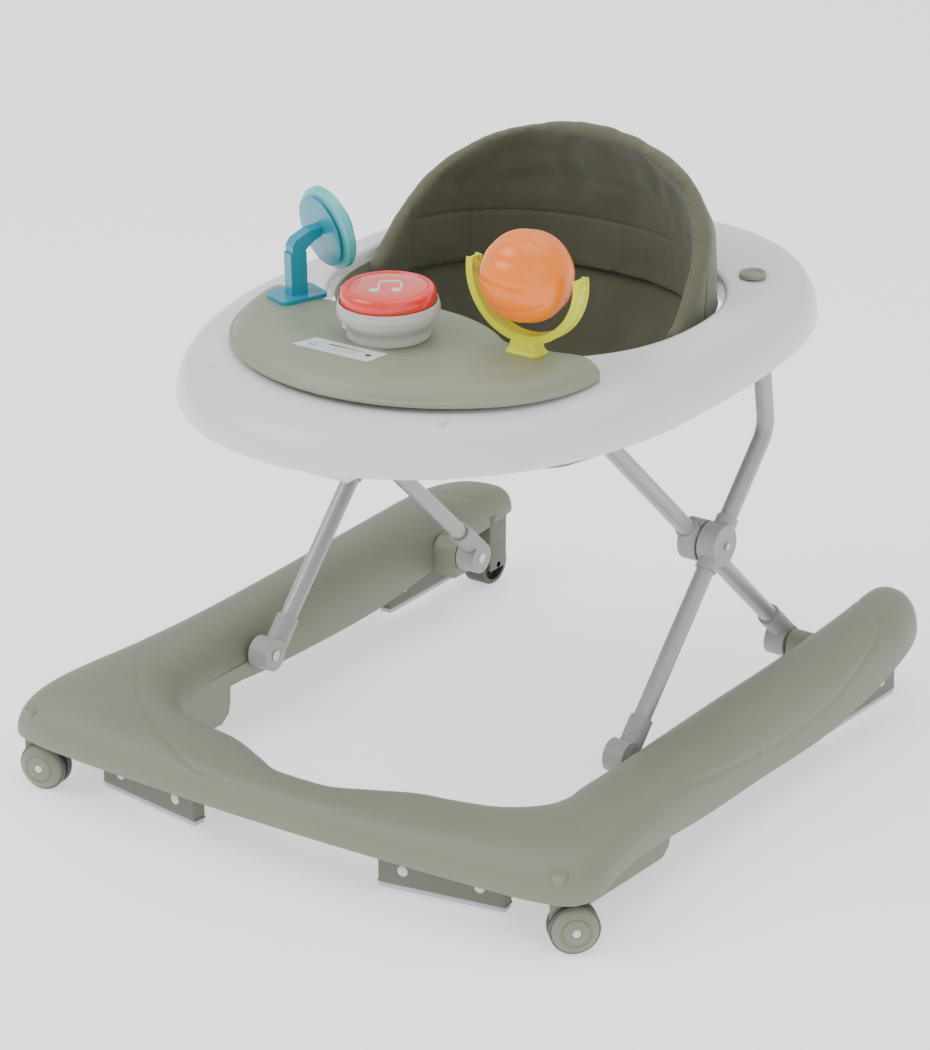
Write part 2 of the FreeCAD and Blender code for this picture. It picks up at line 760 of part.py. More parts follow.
def opening_prism(grow, low, high):
    sizes = (mm("opening_half_width") + grow, mm("opening_mid_y"), mm("opening_half_length") + grow)
    ring = egg(sizes[0], sizes[1], sizes[2], sizes[2], 0, low, 0, blunt=(2.2, 2.2))
    return Part.Face(ring).extrude(Vector(0, 0, high - low))


def build_tray_shell():
    wall = mm("wall")
    outer = tray_solid(0, 0)
    inner = tray_solid(wall, wall)
    skirt = inner.copy()
    skirt.translate(Vector(0, 0, -wall))
    collar = outer.common(opening_prism(wall, 397, 440))
    shell = outer.cut(inner).cut(skirt).fuse(collar).cut(opening_prism(0, 380, 450))
    for _, side in SIDES:
        shell = shell.cut(Part.makeCylinder(9.05, 30, Vector(side * PLUG_AT[0], PLUG_AT[1], PLUG_AT[2] - 20)))
    solids = sorted(shell.Solids, key=lambda s: s.Volume)
    solid_feature("tray_shell", solids[-1])


def build_hinge_bracket(name, side):
    """Two ears hung from the tray that the front leg's top end is pinned between."""
    body = new_body(f"{name}_hinge_bracket")
    ear = [(-11, -9), (11, -9), (13, 34), (-13, 34)]
    for start in (Size(10), Size(-13)):
        pad(body, "YZ", 3, start=start, outline=ear)
    pad(body, "XY", 4, start=31, outline=box_points((-13, -13), (13, 13)))
    stalk = (1, 13) if side < 0 else (-13, -1)
    pad(body, "XY", 14, start=33, outline=box_points((stalk[0], -11), (stalk[1], 11)))
    pocket(body, "YZ", 60, circles=[((0, 0), dim("rivet_radius"))], symmetric=True)
    at = (dim("front_leg_x") * side, dim("tray_pivot_y"), dim("tray_pivot_z"))
    node(body, f"{name}_hinge_bracket", at=at)


def build_slide_track(name, side):
    """A plate under the tray with a long slot for the rear legs' cross tube."""
    body = new_body(f"{name}_slide_track")
    travel = dim("slide_travel")
    room = dim("tube_radius") + 4.5
    plate = [(-travel - 24, -20), (22, -20), (22, 33.4), (-travel - 24, 29.2)]
    pad(body, "YZ", 5, outline=plate, symmetric=True)
    slot = box_points((-travel, -room), (0, room))
    pocket(body, "YZ", 10, outline=slot, symmetric=True)
    for end in (Size(0), -travel):
        pocket(body, "YZ", 10, circles=[((end, 0), room)], symmetric=True)
    node(body, f"{name}_slide_track", at=(dim("track_x") * side, dim("slide_y"), dim("slide_z")))


def build_height_latch():
    """The housing under the tray's front, and the catch that is pulled forward to fold the legs."""
    housing = new_body("latch_housing")
    pad(housing, "XY", 67.6, outline=box_points((-34, -262), (34, -198)))
    pocket(housing, "XY", 63, start=-1, outline=box_points((-31, -259), (31, -201)))
    pocket(housing, "XZ", 20, start=250, outline=box_points((-18, 8), (18, 18)))
    pocket(housing, "YZ", 80, outline=box_points((-242, 24), (-190, 53)), symmetric=True)
    node(housing, "latch_housing", at=(0, 0, 345))
    catch = new_body("latch_catch")
    pad(catch, "XY", 8, outline=box_points((-17, -263), (17, -215)))
    node(catch, "latch_catch", at=(0, 0, 354))


def build_tray_plug(name, side):
    body = new_body(f"{name}_tray_plug")
    turned(body, [(0, -7), (9, -7), (9, -1), (12.5, -0.5), (12.5, 1), (11, 2), (0, 2)])
    node(body, f"{name}_tray_plug", at=(PLUG_AT[0] * side, *PLUG_AT[1:]))


# ------------------------------------------------------------------ seat


def ring_stack(levels, inset):
    rings = [
        egg(half_width - inset, mid_y, front - inset, rear - inset, 0, height, 0, blunt=(2.2, 2.2))
        for height, half_width, mid_y, front, rear in levels
    ]
    return Part.makeLoft(rings, True, False)


# Height, half width, middle y, reach to the front, reach to the rear.
BACK_LEVELS = (
    (417, 173, 50, 152, 157),
    (450, 170, 50, 150, 152),
    (485, 161, 50, 145, 140),
    (520, 146, 50, 130, 126),
    (548, 122, 50, 110, 108),
)
SLING_LEVELS = (
    (255, 62, 62, 60, 62),
    (270, 92, 60, 90, 92),
    (310, 126, 56, 122, 122),
    (360, 150, 52, 140, 142),
    (395, 162, 50, 149, 152),
    (415, 171, 50, 155, 157),
)


def build_seat_back():
    """The padded back: the rear half of a tapering tub, cut off along a slope that rises to the rear."""
    outer = ring_stack(BACK_LEVELS, 0)
    inner = ring_stack(BACK_LEVELS, 17)
    wall = outer.cut(inner)
    cutter = Part.makeBox(500, 600, 400, Vector(-250, -600, 0))
    cutter.Placement = Placement(Vector(0, 40, 408), tipped(-41))
    back = wall.cut(cutter)
    solids = sorted(back.Solids, key=lambda s: s.Volume)
    solid_feature("seat_back", solids[-1])


def build_seat_sling():
    """The cloth tub below the tray, with a leg hole each side of the crotch."""
    outer = ring_stack(SLING_LEVELS, 0)
    levels = [(height + (5 if i == 0 else 0), *rest) for i, (height, *rest) in enumerate(SLING_LEVELS)]
    inner = ring_stack(levels, 5)
    tub = outer.cut(inner)
    lid = Part.makeBox(400, 400, 20, Vector(-200, -150, 414.5))
    tub = tub.cut(lid)
    for _, side in SIDES:
        hole = Part.makeCylinder(46, 160, Vector(side * 62, 20, 318), Vector(side * 0.25, -0.8, -0.6))
        tub = tub.cut(hole)
    solids = sorted(tub.Solids, key=lambda s: s.Volume)
    solid_feature("seat_sling", solids[-1])


# ------------------------------------------------------------------ toy tray and toys


def tray_tilt():
    return tipped(math.degrees(math.atan(mm("tray_slope"))))


def build_toy_tray():
    """A crescent that clips on the front of the tray, hollow below, with three round toy seats."""
    body = new_body("toy_tray")
    sketch = new_sketch(body, "XY")
    runs = (
        ((182, -98), (181, -160), (150, -212)),
        ((150, -212), (0, -268), (-150, -212)),
        ((-150, -212), (-181, -160), (-182, -98)),
        ((-182, -98), (-140, -112), (-92, -116)),
        ((-92, -116), (0, -80), (92, -116)),
        ((92, -116), (140, -112), (182, -98)),
    )
    draw_runs(sketch, runs)
    block = body.newObject("PartDesign::Pad", "toy_tray_pad")
    block.Profile = sketch
    block.Length = 20
    doc.recompute()
    cavity = new_sketch(body, "XY")
    inner = (
        ((174, -106), (172, -158), (143, -205)),
        ((143, -205), (0, -261), (-143, -205)),
        ((-143, -205), (-172, -158), (-174, -106)),
        ((-174, -106), (-140, -118), (-92, -123)),
        ((-92, -123), (0, -88), (92, -123)),
        ((92, -123), (140, -118), (174, -106)),
    )
    draw_runs(cavity, inner)
    hollow = body.newObject("PartDesign::Pocket", "toy_tray_hollow")
    hollow.Profile = cavity
    hollow.Reversed = True
    hollow.Length = 16
    doc.recompute()
    node(body, "toy_tray", at=(0, 0, dim("toy_tray_z")), turn=tray_tilt())


def toy_seat(x, y):
    """The point on the toy tray's sloping top at a place in the toy tray's own plan."""
    point = tray_tilt().multVec(Vector(as_size(x).value, as_size(y).value, 20))
    return (point.x, point.y, mm("toy_tray_z") + point.z)


def build_drum():
    """The music toy: a flared foot, a round body with a pink-red push top, and a side switch."""
    at = toy_seat(0, dim("drum_y"))
    turn = tray_tilt() * Rotation(Vector(0, 0, 1), 70)
    radius = dim("drum_radius")
    body = new_body("drum_body")
    section = [
        (0, 0), (35, 0), (36, 3), (34, 8), (radius - 3, 14), (radius, 20), (radius, 30),
        (radius - 1.5, 33), (radius - 2.6, 33), (radius - 2.6, 27), (0, 27),
    ]
    turned(body, section)
    pocket(body, "YZ", 3, start=-(radius + 0.5), outline=box_points((-9, 15.5), (9, 21.5)))
    node(body, "drum_body", at=at, turn=turn)
    button = new_body("drum_button")
    cap = radius - 3
    turned(button, [(0, 31), (cap, 31), (cap, 39), (cap - 2, 43), (cap - 6, 45), (0, 46.5)])
    node(button, "drum_button", at=at, turn=turn)
    switch = new_body("drum_switch")
    pad(switch, "YZ", 3, start=-(radius + 0.8), outline=box_points((-3, 15.9), (3, 21.1)))
    node(switch, "drum_switch", at=at, turn=turn)


def build_mirror():
    """The teal toy: a foot with a ribbed stem that leans to the child, and a spinning two-faced disc."""
    foot = toy_seat(-dim("toy_x"), dim("toy_y"))
    stem = new_body("mirror_stem")
    pad(stem, "XY", 4, outline=box_points((-23, -17), (23, 17)))
    round_edges(stem, 6, lambda edge: edge.BoundBox.ZLength > 3.9 and edge.BoundBox.XLength < 0.1)
    pad(stem, "XY", 38, start=4, outline=box_points((-8, -6), (8, 6)))
    neck = [(-6, 42), (6, 42), (16, 50), (24, 53), (24, 61), (12, 60), (-2, 54), (-6, 48)]
    pad(stem, "XZ", 12, outline=neck, symmetric=True)
    turn = tray_tilt() * Rotation(Vector(0, 0, 1), mm("mirror_heading"))
    node(stem, "mirror_stem", at=foot, turn=turn)
    radius = dim("mirror_radius")
    hub = turn.multVec(Vector(25.6, 0, 55))
    centre = (foot[0] + hub.x, foot[1] + hub.y, foot[2] + hub.z)
    facing = turn * Rotation(Vector(0, 1, 0), 90 - mm("mirror_tilt"))
    disc = new_body("mirror_disc")
    dish = [
        (0, 0), (10, 0), (radius - 8, 3), (radius, 6), (radius, 12),
        (radius - 2, 14), (radius - 5, 14), (radius - 5, 9), (0, 9),
    ]
    turned(disc, dish)
    node(disc, "mirror_disc", at=centre, turn=facing)
    face = new_body("mirror_face")
    turned(face, [(0, 9), (radius - 5.3, 9), (radius - 5.3, 11), (0, 11.5)])
    node(face, "mirror_face", at=centre, turn=facing)
    knob = new_body("mirror_knob")
    turned(knob, [(0, 11.5), (14, 11.4), (21, 15), (22, 19), (20, 22), (0, 23)])
    node(knob, "mirror_knob", at=centre, turn=facing)


def build_ball():
    """The ball toy: a crescent fork on a flared foot, and a ridged ball that spins between its tips."""
    at = toy_seat(dim("toy_x"), dim("toy_y"))
    radius = dim("ball_radius")
    height = dim("ball_height")
    fork = new_body("ball_fork")
    reach = 55.0
    sketch = new_sketch(fork, "XZ")
    outer = reach + 2.5
    inner = reach - 6.5
    low = math.radians(6)
    drop = math.sin(low)
    spread = math.cos(low)
    outer_tip = (outer * spread, height.value + outer * drop)
    inner_tip = (inner * spread, height.value + inner * drop)
    outer_left = (-outer_tip[0], outer_tip[1])
    inner_left = (-inner_tip[0], inner_tip[1])
    runs = (
        (outer_tip, (0, height.value - outer - 3), outer_left),
        (outer_left, inner_left),
        (inner_left, (0, height.value - inner), inner_tip),
        (inner_tip, outer_tip),
    )
    draw_runs(sketch, runs)
    crescent = fork.newObject("PartDesign::Pad", "ball_fork_crescent")
    crescent.Profile = sketch
    crescent.Midplane = True
    crescent.Length = 12
    doc.recompute()
    tip_height = height
    for side in (-1, 1):
        start = Size(46 * side) if side > 0 else Size(-56)
        pad(fork, "YZ", 10, start=start, circles=[((0, tip_height), 6)])
    foot = [(-29, 0), (29, 0), (27, 3.5), (16, 9.5), (15, 16.5), (-15, 16.5), (-16, 9.5), (-27, 3.5)]
    pad(fork, "XZ", 24, outline=foot, symmetric=True)
    doc.recompute()
    pocket(fork, "YZ", 130, start=-65, circles=[((0, tip_height), 2.5 + 0.05)])
    node(fork, "ball_fork", at=at, turn=tray_tilt())
    ball = new_body("spin_ball")
    ball_section = [(0, -41), (10, -40)]
    for step in range(1, 12):
        angle = math.radians(-75 + 12.5 * step)
        ridge = 0.8 if step % 2 else 0
        reach = radius - 0.9 + ridge
        ball_section.append((reach * math.cos(angle), reach * math.sin(angle)))
    ball_section += [(10, 40), (0, 41)]
    turned(ball, ball_section)
    pad(ball, "XY", 104, start=-52, circles=[((0, 0), 2.5)])
    up = tray_tilt().multVec(Vector(0, 0, height.value))
    centre = (at[0], at[1] + up.y, at[2] + up.z)
    node(ball, "spin_ball", at=centre, turn=Rotation(Vector(0, 1, 0), 90))


# ------------------------------------------------------------------ assembly

build_base_shell()
build_stoppers()
build_caster_sockets()
for side_name, side_sign in SIDES:
    build_slide_rail(side_name, side_sign)
    build_rear_leg_mount(side_name, side_sign)
    build_rear_bracket(side_name, side_sign)
    build_rear_wheel(side_name, side_sign)
    build_caster(side_name, side_sign)
    build_hinge_bracket(side_name, side_sign)
    build_slide_track(side_name, side_sign)
    build_tray_plug(side_name, side_sign)
axles = [(dim("rear_wheel_x") * s, dim("rear_wheel_y"), dim("rear_wheel_radius")) for _, s in SIDES]
pin_group("rear_axles", axles, dim("axle_radius"), 33)
pin_group("rear_leg_pins", [rear_foot(Size(186) * s) for _, s in SIDES], dim("pin_radius"), 46)
hinge_pins = [(dim("front_leg_x") * s, dim("tray_pivot_y"), dim("tray_pivot_z")) for _, s in SIDES]
pin_group("tray_hinge_pins", hinge_pins, dim("rivet_radius"), 29)
build_front_legs()
build_rear_legs()
build_tray_shell()
build_height_latch()
build_seat_back()
build_seat_sling()
build_toy_tray()
build_drum()
build_mirror()
build_ball()
doc.recompute()

# ------------------------------------------------------------------ checks and export

failed = [thing.Name for thing in doc.Objects if {"Invalid", "Error"} & set(thing.State)]
failed += [thing.Label for thing in nodes if thing.Shape.isNull() or not thing.Shape.isValid()]
if failed:
    raise RuntimeError(f"not built: {failed}")
os.makedirs("parts", exist_ok=True)
for thing in nodes:
    thing.Shape.exportStep(f"parts/{thing.Label}.step")
print(f"{len(nodes)} sub-parts written")
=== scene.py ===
import math

import bpy
from mathutils import Matrix, Vector, noise


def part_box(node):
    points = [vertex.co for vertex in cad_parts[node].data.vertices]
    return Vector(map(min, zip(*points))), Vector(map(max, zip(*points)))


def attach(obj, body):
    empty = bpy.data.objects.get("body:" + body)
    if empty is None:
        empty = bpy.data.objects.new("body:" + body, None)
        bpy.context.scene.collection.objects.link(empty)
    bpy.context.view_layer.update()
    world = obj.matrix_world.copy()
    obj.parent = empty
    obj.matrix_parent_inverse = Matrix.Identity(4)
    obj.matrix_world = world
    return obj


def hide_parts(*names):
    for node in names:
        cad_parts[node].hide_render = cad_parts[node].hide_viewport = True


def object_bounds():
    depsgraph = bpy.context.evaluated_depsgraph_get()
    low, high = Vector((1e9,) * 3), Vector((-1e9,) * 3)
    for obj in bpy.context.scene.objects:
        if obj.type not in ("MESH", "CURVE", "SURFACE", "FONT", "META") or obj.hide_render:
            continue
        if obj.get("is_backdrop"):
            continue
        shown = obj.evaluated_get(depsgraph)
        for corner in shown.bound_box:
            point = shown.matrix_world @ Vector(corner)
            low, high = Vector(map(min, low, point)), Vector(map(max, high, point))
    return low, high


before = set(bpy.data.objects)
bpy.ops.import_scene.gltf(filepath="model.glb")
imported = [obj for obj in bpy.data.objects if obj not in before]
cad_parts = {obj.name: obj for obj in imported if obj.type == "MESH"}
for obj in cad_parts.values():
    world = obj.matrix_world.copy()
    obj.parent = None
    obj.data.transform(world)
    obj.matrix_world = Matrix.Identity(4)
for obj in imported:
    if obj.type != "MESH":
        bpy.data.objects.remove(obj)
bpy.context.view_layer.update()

# ---------------------------------------------------------------- base moulding
# The U-shaped base is one hollow injection moulding in sage plastic, open below, with rounded crowns.
# A shallow parting crease runs from the arm's crest down the front bar, and another over each rear end.


def shader_group(name, inputs, outputs):
    """A new shader node group with the given sockets; returns the group and its input and output nodes."""
    group = bpy.data.node_groups.new(name, "ShaderNodeTree")
    for socket, kind, value in inputs:
        made = group.interface.new_socket(name=socket, in_out="INPUT", socket_type=kind)
        made.default_value = value
    for socket, kind in outputs:
        group.interface.new_socket(name=socket, in_out="OUTPUT", socket_type=kind)
    start = group.nodes.new("NodeGroupInput")
    end = group.nodes.new("NodeGroupOutput")
    return group, start, end


def noise_node(tree, scale, detail, rough=0.5):
    made = tree.nodes.new("ShaderNodeTexNoise")
    made.inputs["Scale"].default_value = scale
    made.inputs["Detail"].default_value = detail
    made.inputs["Roughness"].default_value = rough
    return made


def ramp_node(tree, low, high, out_low=0.0, out_high=1.0):
    made = tree.nodes.new("ShaderNodeMapRange")
    made.inputs["From Min"].default_value = low
    made.inputs["From Max"].default_value = high
    made.inputs["To Min"].default_value = out_low
    made.inputs["To Max"].default_value = out_high
    return made


def math_node(tree, kind, value=None):
    made = tree.nodes.new("ShaderNodeMath")
    made.operation = kind
    if value is not None:
        made.inputs[1].default_value = value
    return made


def mix_node(tree, kind="MIX"):
    made = tree.nodes.new("ShaderNodeMix")
    made.data_type = "RGBA"
    made.blend_type = kind
    return made


def make_surface_group():
    """Mottle, fine moulding grain, dust on upward faces and rubbed edges, for every hard piece."""
    group, start, end = shader_group(
        "moulded_surface",
        (
            ("Colour", "NodeSocketColor", (0.5, 0.5, 0.5, 1)),
            ("Roughness", "NodeSocketFloat", 0.5),
            ("Grain Scale", "NodeSocketFloat", 1500.0),
            ("Mottle", "NodeSocketFloat", 0.05),
            ("Dust", "NodeSocketFloat", 0.1),
            ("Edge Rub", "NodeSocketFloat", 0.1),
        ),
        (("Colour", "NodeSocketColor"), ("Roughness", "NodeSocketFloat"), ("Height", "NodeSocketFloat")),
    )
    join = group.links.new
    place = group.nodes.new("ShaderNodeTexCoord").outputs["Object"]
    broad = noise_node(group, 14, 3)
    join(place, broad.inputs["Vector"])
    shade = ramp_node(group, 0.3, 0.7, -1, 1)
    join(broad.outputs["Fac"], shade.inputs["Value"])
    amount = math_node(group, "MULTIPLY")
    join(shade.outputs["Result"], amount.inputs[0])
    join(start.outputs["Mottle"], amount.inputs[1])
    lighter = math_node(group, "ADD", 1.0)
    join(amount.outputs[0], lighter.inputs[0])
    mottled = group.nodes.new("ShaderNodeVectorMath")
    mottled.operation = "SCALE"
    join(start.outputs["Colour"], mottled.inputs[0])
    join(lighter.outputs[0], mottled.inputs["Scale"])
    shape = group.nodes.new("ShaderNodeNewGeometry")
    rub = ramp_node(group, 0.515, 0.60)
    join(shape.outputs["Pointiness"], rub.inputs["Value"])
    rub_amount = math_node(group, "MULTIPLY")
    join(rub.outputs["Result"], rub_amount.inputs[0])
    join(start.outputs["Edge Rub"], rub_amount.inputs[1])
    rubbed = mix_node(group)
    join(rub_amount.outputs[0], rubbed.inputs["Factor"])
    join(mottled.outputs[0], rubbed.inputs["A"])
    rubbed.inputs["B"].default_value = (0.75, 0.75, 0.72, 1)
    facing = group.nodes.new("ShaderNodeSeparateXYZ")
    join(shape.outputs["Normal"], facing.inputs["Vector"])
    upward = ramp_node(group, 0.5, 1.0)
    join(facing.outputs["Z"], upward.inputs["Value"])
    specks = noise_node(group, 60, 4, 0.7)
    join(place, specks.inputs["Vector"])
    patchy = ramp_node(group, 0.45, 0.75)
    join(specks.outputs["Fac"], patchy.inputs["Value"])
    settled = math_node(group, "MULTIPLY")
    join(upward.outputs["Result"], settled.inputs[0])
    join(patchy.outputs["Result"], settled.inputs[1])
    dust = math_node(group, "MULTIPLY")
    join(settled.outputs[0], dust.inputs[0])
    join(start.outputs["Dust"], dust.inputs[1])
    dusty = mix_node(group)
    join(dust.outputs[0], dusty.inputs["Factor"])
    join(rubbed.outputs["Result"], dusty.inputs["A"])
    dusty.inputs["B"].default_value = (0.62, 0.60, 0.55, 1)
    join(dusty.outputs["Result"], end.inputs["Colour"])
    matt = math_node(group, "MULTIPLY_ADD")
    join(amount.outputs[0], matt.inputs[0])
    matt.inputs[1].default_value = 1.2
    join(start.outputs["Roughness"], matt.inputs[2])
    dull = math_node(group, "ADD")
    join(matt.outputs[0], dull.inputs[0])
    join(dust.outputs[0], dull.inputs[1])
    join(dull.outputs[0], end.inputs["Roughness"])
    grain = noise_node(group, 1500, 2)
    join(place, grain.inputs["Vector"])
    join(start.outputs["Grain Scale"], grain.inputs["Scale"])
    join(grain.outputs["Fac"], end.inputs["Height"])
    return group


SURFACE = make_surface_group()


def moulded(
    name, colour, roughness, grain=1500, depth=0.15, mottle=0.05, dust=0.05, rub=0.06, metallic=0,
    coat=0, edge=0.0006,
):
    """A material for a hard piece: the shared surface group feeding a Principled shader."""
    material = bpy.data.materials.new(name)
    material.use_nodes = True
    tree = material.node_tree
    shader = tree.nodes["Principled BSDF"]
    surface = tree.nodes.new("ShaderNodeGroup")
    surface.node_tree = SURFACE
    surface.inputs["Colour"].default_value = (*colour, 1)
    surface.inputs["Roughness"].default_value = roughness
    surface.inputs["Grain Scale"].default_value = grain
    surface.inputs["Mottle"].default_value = mottle
    surface.inputs["Dust"].default_value = dust
    surface.inputs["Edge Rub"].default_value = rub
    rounded = tree.nodes.new("ShaderNodeBevel")
    rounded.samples = 4
    rounded.inputs["Radius"].default_value = edge
    bump = tree.nodes.new("ShaderNodeBump")
    bump.inputs["Strength"].default_value = depth
    bump.inputs["Distance"].default_value = 0.0003
    tree.links.new(surface.outputs["Height"], bump.inputs["Height"])
    tree.links.new(rounded.outputs["Normal"], bump.inputs["Normal"])
    tree.links.new(surface.outputs["Colour"], shader.inputs["Base Color"])
    tree.links.new(surface.outputs["Roughness"], shader.inputs["Roughness"])
    tree.links.new(bump.outputs["Normal"], shader.inputs["Normal"])
    shader.inputs["Metallic"].default_value = metallic
    shader.inputs["Coat Weight"].default_value = coat
    return material


def wear(thing, material):
    """Gives a piece or a carried-over CAD node its material."""
    thing.data.materials.clear()
    thing.data.materials.append(material)


def finish_nodes(material, *names):
    for name in names:
        wear(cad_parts[name], material)


def skin(name, rings, wrap=True, close=False):
    """A mesh through rings of points: wrap joins each ring's ends, close joins the last ring to the first."""
    count = len(rings[0])
    points = [tuple(point) for ring in rings for point in ring]
    faces = []
    for i in range(len(rings) if close else len(rings) - 1):
        below = i * count
        above = (i + 1) % len(rings) * count
        for j in range(count if wrap else count - 1):
            k = (j + 1) % count
            faces.append((below + j, below + k, above + k, above + j))
    mesh = bpy.data.meshes.new(name)
    mesh.from_pydata(points, [], faces)
    made = bpy.data.objects.new(name, mesh)
    bpy.context.collection.objects.link(made)
    return pick(made)


def cap_ends(thing):
    """Closes every open edge loop of a mesh with one face."""
    pick(thing)
    bpy.ops.object.mode_set(mode="EDIT")
    bpy.ops.mesh.select_all(action="DESELECT")
    bpy.ops.mesh.select_non_manifold()
    bpy.ops.mesh.edge_face_add()
    bpy.ops.object.mode_set(mode="OBJECT")
    return thing


def pick(thing):
    """Makes a piece the only selected and active one."""
    bpy.ops.object.select_all(action="DESELECT")
    thing.select_set(True)
    bpy.context.view_layer.objects.active = thing
    return thing


def outward(thing, smooth=True, angle=35):
    """Turns every face outward and shades the piece smoothly, with sharp edges kept."""
    pick(thing)
    bpy.ops.object.mode_set(mode="EDIT")
    bpy.ops.mesh.select_all(action="SELECT")
    bpy.ops.mesh.normals_make_consistent(inside=False)
    bpy.ops.object.mode_set(mode="OBJECT")
    if smooth:
        bpy.ops.object.shade_smooth_by_angle(angle=math.radians(angle))
    return thing


def modify(thing, kind, **settings):
    """Adds one modifier and applies it."""
    pick(thing)
    made = thing.modifiers.new(kind.lower(), kind)
    for key, value in settings.items():
        setattr(made, key, value)
    bpy.ops.object.modifier_apply(modifier=made.name)
    return thing


def smooth_run(rows, count):
    """Rows of numbers resampled evenly on smooth curves through them."""
    reach = [0.0]
    for before, after in zip(rows, rows[1:]):
        reach.append(reach[-1] + math.dist(before, after))
    slopes = []
    for i in range(len(rows)):
        low = max(i - 1, 0)
        high = min(i + 1, len(rows) - 1)
        step = reach[high] - reach[low]
        slopes.append([(b - a) / step for a, b in zip(rows[low], rows[high])])
    made = []
    for n in range(count):
        along = reach[-1] * n / (count - 1)
        i = max(k for k in range(len(rows) - 1) if reach[k] <= along + 1e-12)
        width = reach[i + 1] - reach[i]
        t = (along - reach[i]) / width
        start = (1 + 2 * t) * (1 - t) ** 2
        leave = t * (1 - t) ** 2 * width
        arrive = t * t * (t - 1) * width
        made.append([
            a * start + slope_a * leave + b * (1 - start) + slope_b * arrive
            for a, b, slope_a, slope_b in zip(rows[i], rows[i + 1], slopes[i], slopes[i + 1])
        ])
    return made


# Outer x and y, inner x and y, lower edge and crown height, in metres,
# from the front's middle to the arm's tip.
base_stations = [
    (0.000, -0.3355, 0.0000, -0.2770, 0.0470, 0.0765),
    (0.040, -0.3354, 0.0300, -0.2745, 0.0470, 0.0768),
    (0.080, -0.3346, 0.0600, -0.2590, 0.0470, 0.0780),
    (0.125, -0.3332, 0.0950, -0.2425, 0.0470, 0.0800),
    (0.170, -0.3312, 0.1300, -0.2375, 0.0470, 0.0820),
    (0.225, -0.3280, 0.1620, -0.2300, 0.0470, 0.0840),
    (0.268, -0.3235, 0.1840, -0.2160, 0.0470, 0.0860),
    (0.298, -0.3125, 0.1975, -0.2010, 0.0470, 0.0880),
    (0.3085, -0.2900, 0.2035, -0.1850, 0.0490, 0.0890),
    (0.3065, -0.2480, 0.2055, -0.1700, 0.0570, 0.0895),
    (0.300, -0.1900, 0.2060, -0.1450, 0.0540, 0.0905),
    (0.293, -0.1050, 0.2060, -0.0950, 0.0450, 0.0925),
    (0.288, 0.0000, 0.2070, 0.0000, 0.0410, 0.0965),
    (0.2865, 0.1100, 0.2100, 0.1100, 0.0400, 0.1005),
    (0.285, 0.1950, 0.2105, 0.2030, 0.0500, 0.1035),
    (0.2835, 0.2400, 0.2090, 0.2560, 0.0600, 0.1045),
    (0.279, 0.2720, 0.2060, 0.2920, 0.0660, 0.1035),
    (0.269, 0.3000, 0.2045, 0.3150, 0.0700, 0.1000),
    (0.252, 0.3220, 0.2060, 0.3280, 0.0720, 0.0940),
    (0.233, 0.3325, 0.2120, 0.3340, 0.0740, 0.0880),
]
arch_steps = 68
lining_steps = 14
wall = 0.003


def arch_point(station, side, turn, inset):
    """A point on the rounded arch: turn runs from 0 at the outer lower edge to 1 at the inner lower edge."""
    outer_x, outer_y, inner_x, inner_y, low, top = station
    angle = math.pi * turn
    spread = 0.5 * math.copysign(abs(math.cos(angle)) ** 0.85, math.cos(angle))
    width = math.hypot(inner_x - outer_x, inner_y - outer_y)
    share = 0.5 - spread * (1 - 2 * inset / width)
    height = low + ((top - low) * 1.035 - inset) * math.sin(angle) ** 0.85
    return (side * (outer_x + (inner_x - outer_x) * share), outer_y + (inner_y - outer_y) * share, height)


def base_ring(station, side, last):
    ring = [arch_point(station, side, i / arch_steps, 0) for i in range(arch_steps + 1)]
    lining = [arch_point(station, side, 1 - i / lining_steps, wall) for i in range(lining_steps + 1)]
    if last:
        lining = [
            Vector(ring[-1]).lerp(Vector(ring[0]), 0.02 + 0.96 * i / lining_steps)
            for i in range(lining_steps + 1)
        ]
    return ring + lining


base_half = smooth_run(base_stations, 360)
tip = len(base_half) - 1
base_rings = [base_ring(base_half[i], -1, i == tip) for i in range(tip, 0, -1)]
base_rings += [base_ring(row, 1, i == tip) for i, row in enumerate(base_half)]
base = cap_ends(skin("base_moulding", base_rings))
outward(base)


def carve(thing, path, width, depth):
    """Presses a soft groove into a mesh along (point, share of full depth) pairs."""
    normals = [vertex.normal.copy() for vertex in thing.data.vertices]
    for vertex, normal in zip(thing.data.vertices, normals):
        nearest = 1.0
        amount = 0.0
        for (a, share_a), (b, share_b) in zip(path, path[1:]):
            if abs(vertex.co.y - a.y) > 0.03 or abs(vertex.co.x - a.x) > 0.03:
                continue
            along = b - a
            t = min(1, max(0, (vertex.co - a).dot(along) / along.length_squared))
            gap = (vertex.co - a - along * t).length
            if gap < nearest:
                nearest = gap
                amount = share_a + (share_b - share_a) * t
        if nearest < 4 * width:
            vertex.co -= normal * depth * amount * math.exp(-(nearest / width) ** 2)


def surface_path(side, stops):
    """Points on the base's skin from (place along the half, turn over the arch, share of depth)."""
    path = []
    for place, turn, share in smooth_run(stops, 60):
        index = min(tip, abs(place) * tip)
        row = base_half[int(index)]
        hand = side if place >= 0 else -side
        path.append((Vector(arch_point(row, hand, turn, 0)), min(1, max(0, share))))
    return path


